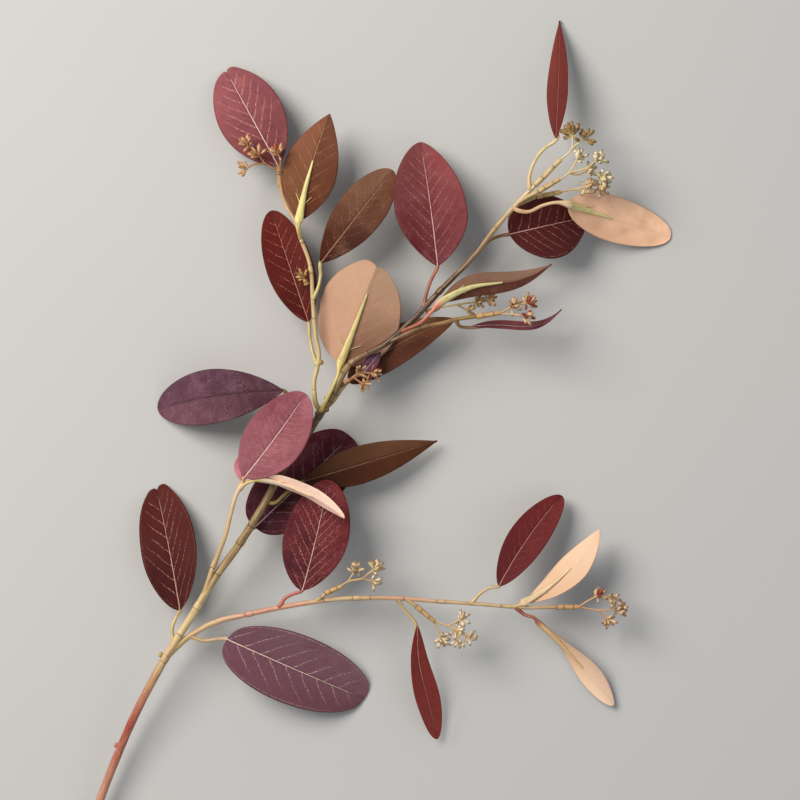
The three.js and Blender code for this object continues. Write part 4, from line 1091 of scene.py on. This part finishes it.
def cloth(name, look, seed):
    """Pressed cloth with printed veins: dashed light ones, thin dark ones and a fine net."""
    n = Nodes(name)
    blade = n.attribute("Blade").outputs["Vector"]
    x, y, _ = n.split(blade)
    v, t, _ = n.split(n.attribute("Place").outputs["Vector"])
    far = n.maths("ABSOLUTE", v)
    shifted = n.joined(n.maths("ADD", x, seed * 37.0), y, seed * 11.0)

    # the cloth's own tone
    sharp = look["split"]
    side = n.ramp(v, -sharp, sharp)
    depth = look["depth"]
    tones = [(*(linear(code) * depth), 1) for code in look["tones"].split()]
    low, high = n.mix(side, tones[0], tones[1]), n.mix(side, tones[2], tones[3])
    colour = n.mix(n.ramp(t, 0.05, 0.95), low, high)
    cloud = n.noise(shifted, 0.075, 3.0)
    mottle = (*(linear(look["mottle"]) * depth), 1) if "mottle" in look else tones[3]
    colour = n.mix(n.ramp(cloud, 0.5, 0.75, 0.0, 0.6), colour, mottle)
    dusk = n.noise(shifted, 0.13, 4.0, 0.6)
    colour = n.mix(n.ramp(dusk, 0.52, 0.8, 0.0, look["dusk"]), colour,
                   n.mix(0.5, colour, "140606"))

    # places on the blade, wandering a little so that no vein is straight
    drift = n.noise(shifted, 0.11, 2.0)
    wander = n.affine(drift, 4.0, -2.0)
    jitter = n.affine(n.noise(shifted, 0.7, 1.0), 0.7, -0.35)
    bent_x = n.maths("ADD", x, n.times(jitter, 0.7))
    across = n.maths("ABSOLUTE", n.maths("ADD", x, jitter))
    right = n.maths("GREATER_THAN", x, 0.0)
    slope = n.affine(right, look["slope"][1] - look["slope"][0], look["slope"][0])
    rise = n.times(slope, across)
    curve = n.times(n.times(across, across), look["bend"])
    step = n.maths("SUBTRACT", n.maths("ADD", y, wander), n.maths("ADD", rise, curve))
    step = n.affine(right, 0.42, n.maths("DIVIDE", step, look["spacing"]))
    steep = math.cos(math.atan(sum(look["slope"]) / 2))
    gap = n.times(n.maths("PINGPONG", step, 0.5), look["spacing"] * steep)

    # light side veins, dashed, thinner towards the margin
    number = n.affine(right, 57.0, n.maths("ROUND", step))
    lot = n.add("ShaderNodeTexWhiteNoise", noise_dimensions="1D")
    n.put(lot.inputs["W"], n.maths("ADD", number, seed * 3.7))
    span = n.affine(lot.outputs["Value"], 0.35, 0.62)
    reach = n.maths("DIVIDE", n.maths("SUBTRACT", span, far), 0.22, clamp=True)
    reach = n.times(reach, n.ramp(t, 0.86, 0.97, 1.0, 0.0))
    width = n.ramp(far, 0.0, 0.9, 0.30, 0.16)
    light = n.times(n.ramp(n.maths("DIVIDE", gap, width), 0.35, 1.0, 1.0, 0.0), reach)
    dashes = n.ramp(n.noise(shifted, 0.95, 2.0, 0.7), 0.45, 0.56)
    light = n.times(light, n.affine(dashes, 0.88, 0.12))
    # thin dark veins beside and between the light ones
    third = n.maths("PINGPONG", n.times(step, 3.0), 0.5)
    between = n.times(third, look["spacing"] * steep / 3)
    dark = n.ramp(between, 0.08, 0.34, 1.0, 0.0)
    dark = n.times(dark, n.ramp(far, 0.7, 1.0, 1.0, 0.0))
    broken = n.ramp(n.noise(shifted, 0.33, 3.0, 0.6), 0.36, 0.6)
    dark = n.times(n.times(dark, broken), look["dark"] * 0.75)
    colour = n.mix(dark, colour, n.mix(0.72, colour, "180608"))
    # the fine net between veins
    if look["net"]:
        cells = n.add("ShaderNodeTexVoronoi", feature="DISTANCE_TO_EDGE")
        n.put(cells.inputs["Vector"], shifted)
        n.put(cells.inputs["Scale"], 0.6)
        net = n.ramp(cells.outputs["Distance"], 0.01, 0.09, 1.0, 0.0)
        patches = n.ramp(n.noise(shifted, 0.09, 1.0), look["patchy"], 0.6)
        net = n.times(n.times(net, patches), 0.5 * look["net"])
        colour = n.mix(net, colour, look.get("mesh", look["vein"]))
    colour = n.mix(n.times(light, min(1.0, 0.8 * look["light"])), colour, look["vein"])
    # pale flecks in the cloth
    flecks = n.ramp(n.noise(shifted, 1.6, 2.0, 0.7), 0.66, 0.78)
    colour = n.mix(n.times(flecks, 0.45 * look["speck"]), colour, look["vein"])

    # a dotted pale line just inside the margin
    line = n.times(n.ramp(far, 0.915, 0.935), n.ramp(far, 0.94, 0.96, 1.0, 0.0))
    line = n.times(n.times(line, dashes), look["margin"])
    colour = n.mix(line, colour, look["vein"])

    # the midrib, and painted shade along both sides of it, in the crease of the fold
    centre = n.maths("ABSOLUTE", bent_x)
    taper = n.ramp(t, 0.0, 1.0, 0.46, 0.16)
    near = n.ramp(n.maths("DIVIDE", centre, taper), 0.4, 1.0, 1.0, 0.0)
    worn = n.affine(n.ramp(n.noise(shifted, 0.4, 2.0), 0.35, 0.5), 0.3, 0.7)
    midrib = n.times(n.times(near, worn), n.ramp(t, 0.84, 0.95, 1.0, 0.0))
    shade = n.ramp(centre, 0.5, 1.9, look["shade"], 0.0)
    colour = n.mix(shade, colour, n.mix(0.45, colour, "140606"))
    colour = n.mix(midrib, colour, look["midrib"])

    # the cut edge is darker
    rim = n.ramp(far, 0.93, 1.0)
    colour = n.mix(n.times(rim, 0.5), colour, n.mix(0.6, colour, "120506"))

    # weave, fuzz and pressed-in veins
    warp = n.maths("SINE", n.times(x, 2 * math.pi / WEAVE_PITCH))
    weft = n.maths("SINE", n.times(y, 2 * math.pi / WEAVE_PITCH))
    weave = n.times(warp, weft)
    fuzz = n.noise(shifted, 2.2, 3.0, 0.7)
    colour = n.mix(n.affine(weave, 0.05, 0.06), colour, n.mix(0.5, colour, "0c0404"))
    veins = n.maths("MAXIMUM", n.times(light, 0.6), midrib)
    height = n.affine(weave, 0.16, n.times(fuzz, 0.6))
    height = n.affine(veins, -0.5, height)
    height = n.affine(n.noise(shifted, 0.35, 2.0), 1.3, height)
    n.bump(height, 0.22, 0.9)
    roughness = n.affine(fuzz, 0.22, 0.48)
    n.material.diffuse_color = (*linear(look["tones"].split()[2]), 1)
    return n.finish(colour, roughness, Sheen_Weight=0.015, Sheen_Roughness=0.45,
                    Specular_IOR_Level=0.14)


def moulded(name, dirt, gloss):
    """Airbrushed plastic: the piece's own tints, long grain, flecks, dark rings and painted shade.
    """
    n = Nodes(name)
    tint = n.attribute("Tint").outputs["Color"]
    grain = n.attribute("Grain").outputs["Vector"]
    dark = n.attribute("Dark").outputs["Fac"]
    x, y, s = n.split(grain)
    long = n.joined(x, y, n.times(s, 0.09))
    streaks = n.noise(long, 1.1, 4.0, 0.65)
    colour = n.mix(n.ramp(streaks, 0.5, 0.68, 0.0, 0.65), tint, n.mix(0.6, tint, "5a2a18"))
    colour = n.mix(n.ramp(streaks, 0.5, 0.34, 0.0, 0.5), colour, n.mix(0.42, colour, "ecd098"))
    blush = n.noise(grain, 0.09, 2.0)
    colour = n.mix(n.ramp(blush, 0.55, 0.75, 0.0, 0.22), colour, n.mix(0.5, colour, "a0503c"))
    moss = n.noise(n.joined(y, s, x), 0.11, 2.0)
    colour = n.mix(n.ramp(moss, 0.55, 0.75, 0.0, 0.2), colour, n.mix(0.5, colour, "7c8038"))
    flecks = n.ramp(n.noise(grain, 1.7, 3.0, 0.7), 0.62, 0.72)
    colour = n.mix(n.times(flecks, dirt), colour, n.mix(0.7, colour, "3a2010"))
    # Dark darkens the rings and collars, and paints shade on the sides and undersides of the bars
    colour = n.mix(n.times(dark, 0.85), colour, n.mix(0.82, colour, "2a1408"))
    fine = n.noise(long, 3.2, 3.0, 0.6)
    height = n.affine(streaks, 0.8, n.times(fine, 0.5))
    height = n.affine(flecks, -0.35, height)
    n.bump(height, 0.3, 0.9)
    roughness = n.affine(fine, 0.25, gloss)
    return n.finish(colour, roughness, Specular_IOR_Level=0.42, Coat_Weight=0.15,
                    Coat_Roughness=0.22)


def floor_material():
    n = Nodes("floor")
    place = n.add("ShaderNodeTexCoord").outputs["Object"]
    cloud = n.noise(place, 3.0, 3.0)
    colour = n.mix(cloud, "bfbcb8", "b9babb")
    n.bump(n.noise(place, 900.0, 2.0), 0.05, 0.3)
    return n.finish(colour, n.affine(cloud, 0.1, 0.7), Specular_IOR_Level=0.2)


# ---- The pieces ---------------------------------------------------------------------------
bark = moulded("stem_plastic", 0.35, 0.3)
seeds = moulded("seed_plastic", 0.5, 0.45)
for number, stem in enumerate(STEMS):
    stem_piece(stem, np.random.default_rng(100 + number), bark)
for number, (node, head) in enumerate(SEED_HEADS.items()):
    seed_head(node, head, np.random.default_rng(200 + number), seeds)
for number, (node, leaf) in enumerate(LEAVES.items()):
    blade_piece(node, leaf, np.random.default_rng(300 + number), [
        cloth(node + "_front", FRONTS[node], number + 1),
        cloth(node + "_back", {**BACK, **BACKS.get(node, {})}, number + 31)])

# ---- Floor, light and camera --------------------------------------------------------------
FLOOR = 4.0
# each light's place, size, watts and colour
KEY_LIGHT = ((-1.25, 1.05, 1.6), 1.5, 62, (1.0, 0.95, 0.88))
FILL_LIGHT = ((1.5, -1.2, 1.8), 1.6, 8, (0.86, 0.93, 1.0))
SKY_COLOUR = (0.93, 0.97, 1.0, 1)
SKY_STRENGTH = 0.36
SENSOR_WIDTH, FOCAL_LENGTH = 36, 138.46
CAMERA_PLACE = (0.02987, 0.07598, 2.03)

mesh = bpy.data.meshes.new("floor")
mesh.from_pydata([(-FLOOR, -FLOOR, 0), (FLOOR, -FLOOR, 0), (FLOOR, FLOOR, 0), (-FLOOR, FLOOR, 0)],
                 [], [(0, 1, 2, 3)])
mesh.materials.append(floor_material())
floor = bpy.data.objects.new("floor", mesh)
bpy.context.scene.collection.objects.link(floor)


def area_light(name, place, size, power, colour):
    light = bpy.data.lights.new(name, "AREA")
    light.shape = "DISK"
    light.size, light.energy, light.color = size, power, colour
    lamp = bpy.data.objects.new(name, light)
    lamp.location = place
    lamp.rotation_mode = "QUATERNION"
    lamp.rotation_quaternion = (-lamp.location).to_track_quat("-Z", "Y")
    bpy.context.scene.collection.objects.link(lamp)


area_light("key", *KEY_LIGHT)
area_light("fill", *FILL_LIGHT)
world = bpy.data.worlds.new("studio")
world.use_nodes = True
sky = world.node_tree.nodes["Background"]
sky.inputs["Color"].default_value = SKY_COLOUR
sky.inputs["Strength"].default_value = SKY_STRENGTH
bpy.context.scene.world = world
bpy.context.scene.view_settings.view_transform = "Standard"

camera = bpy.data.cameras.new("camera")
camera.sensor_width, camera.lens = SENSOR_WIDTH, FOCAL_LENGTH
view = bpy.data.objects.new("camera", camera)
view.location = CAMERA_PLACE
bpy.context.scene.collection.objects.link(view)
bpy.context.scene.camera = view
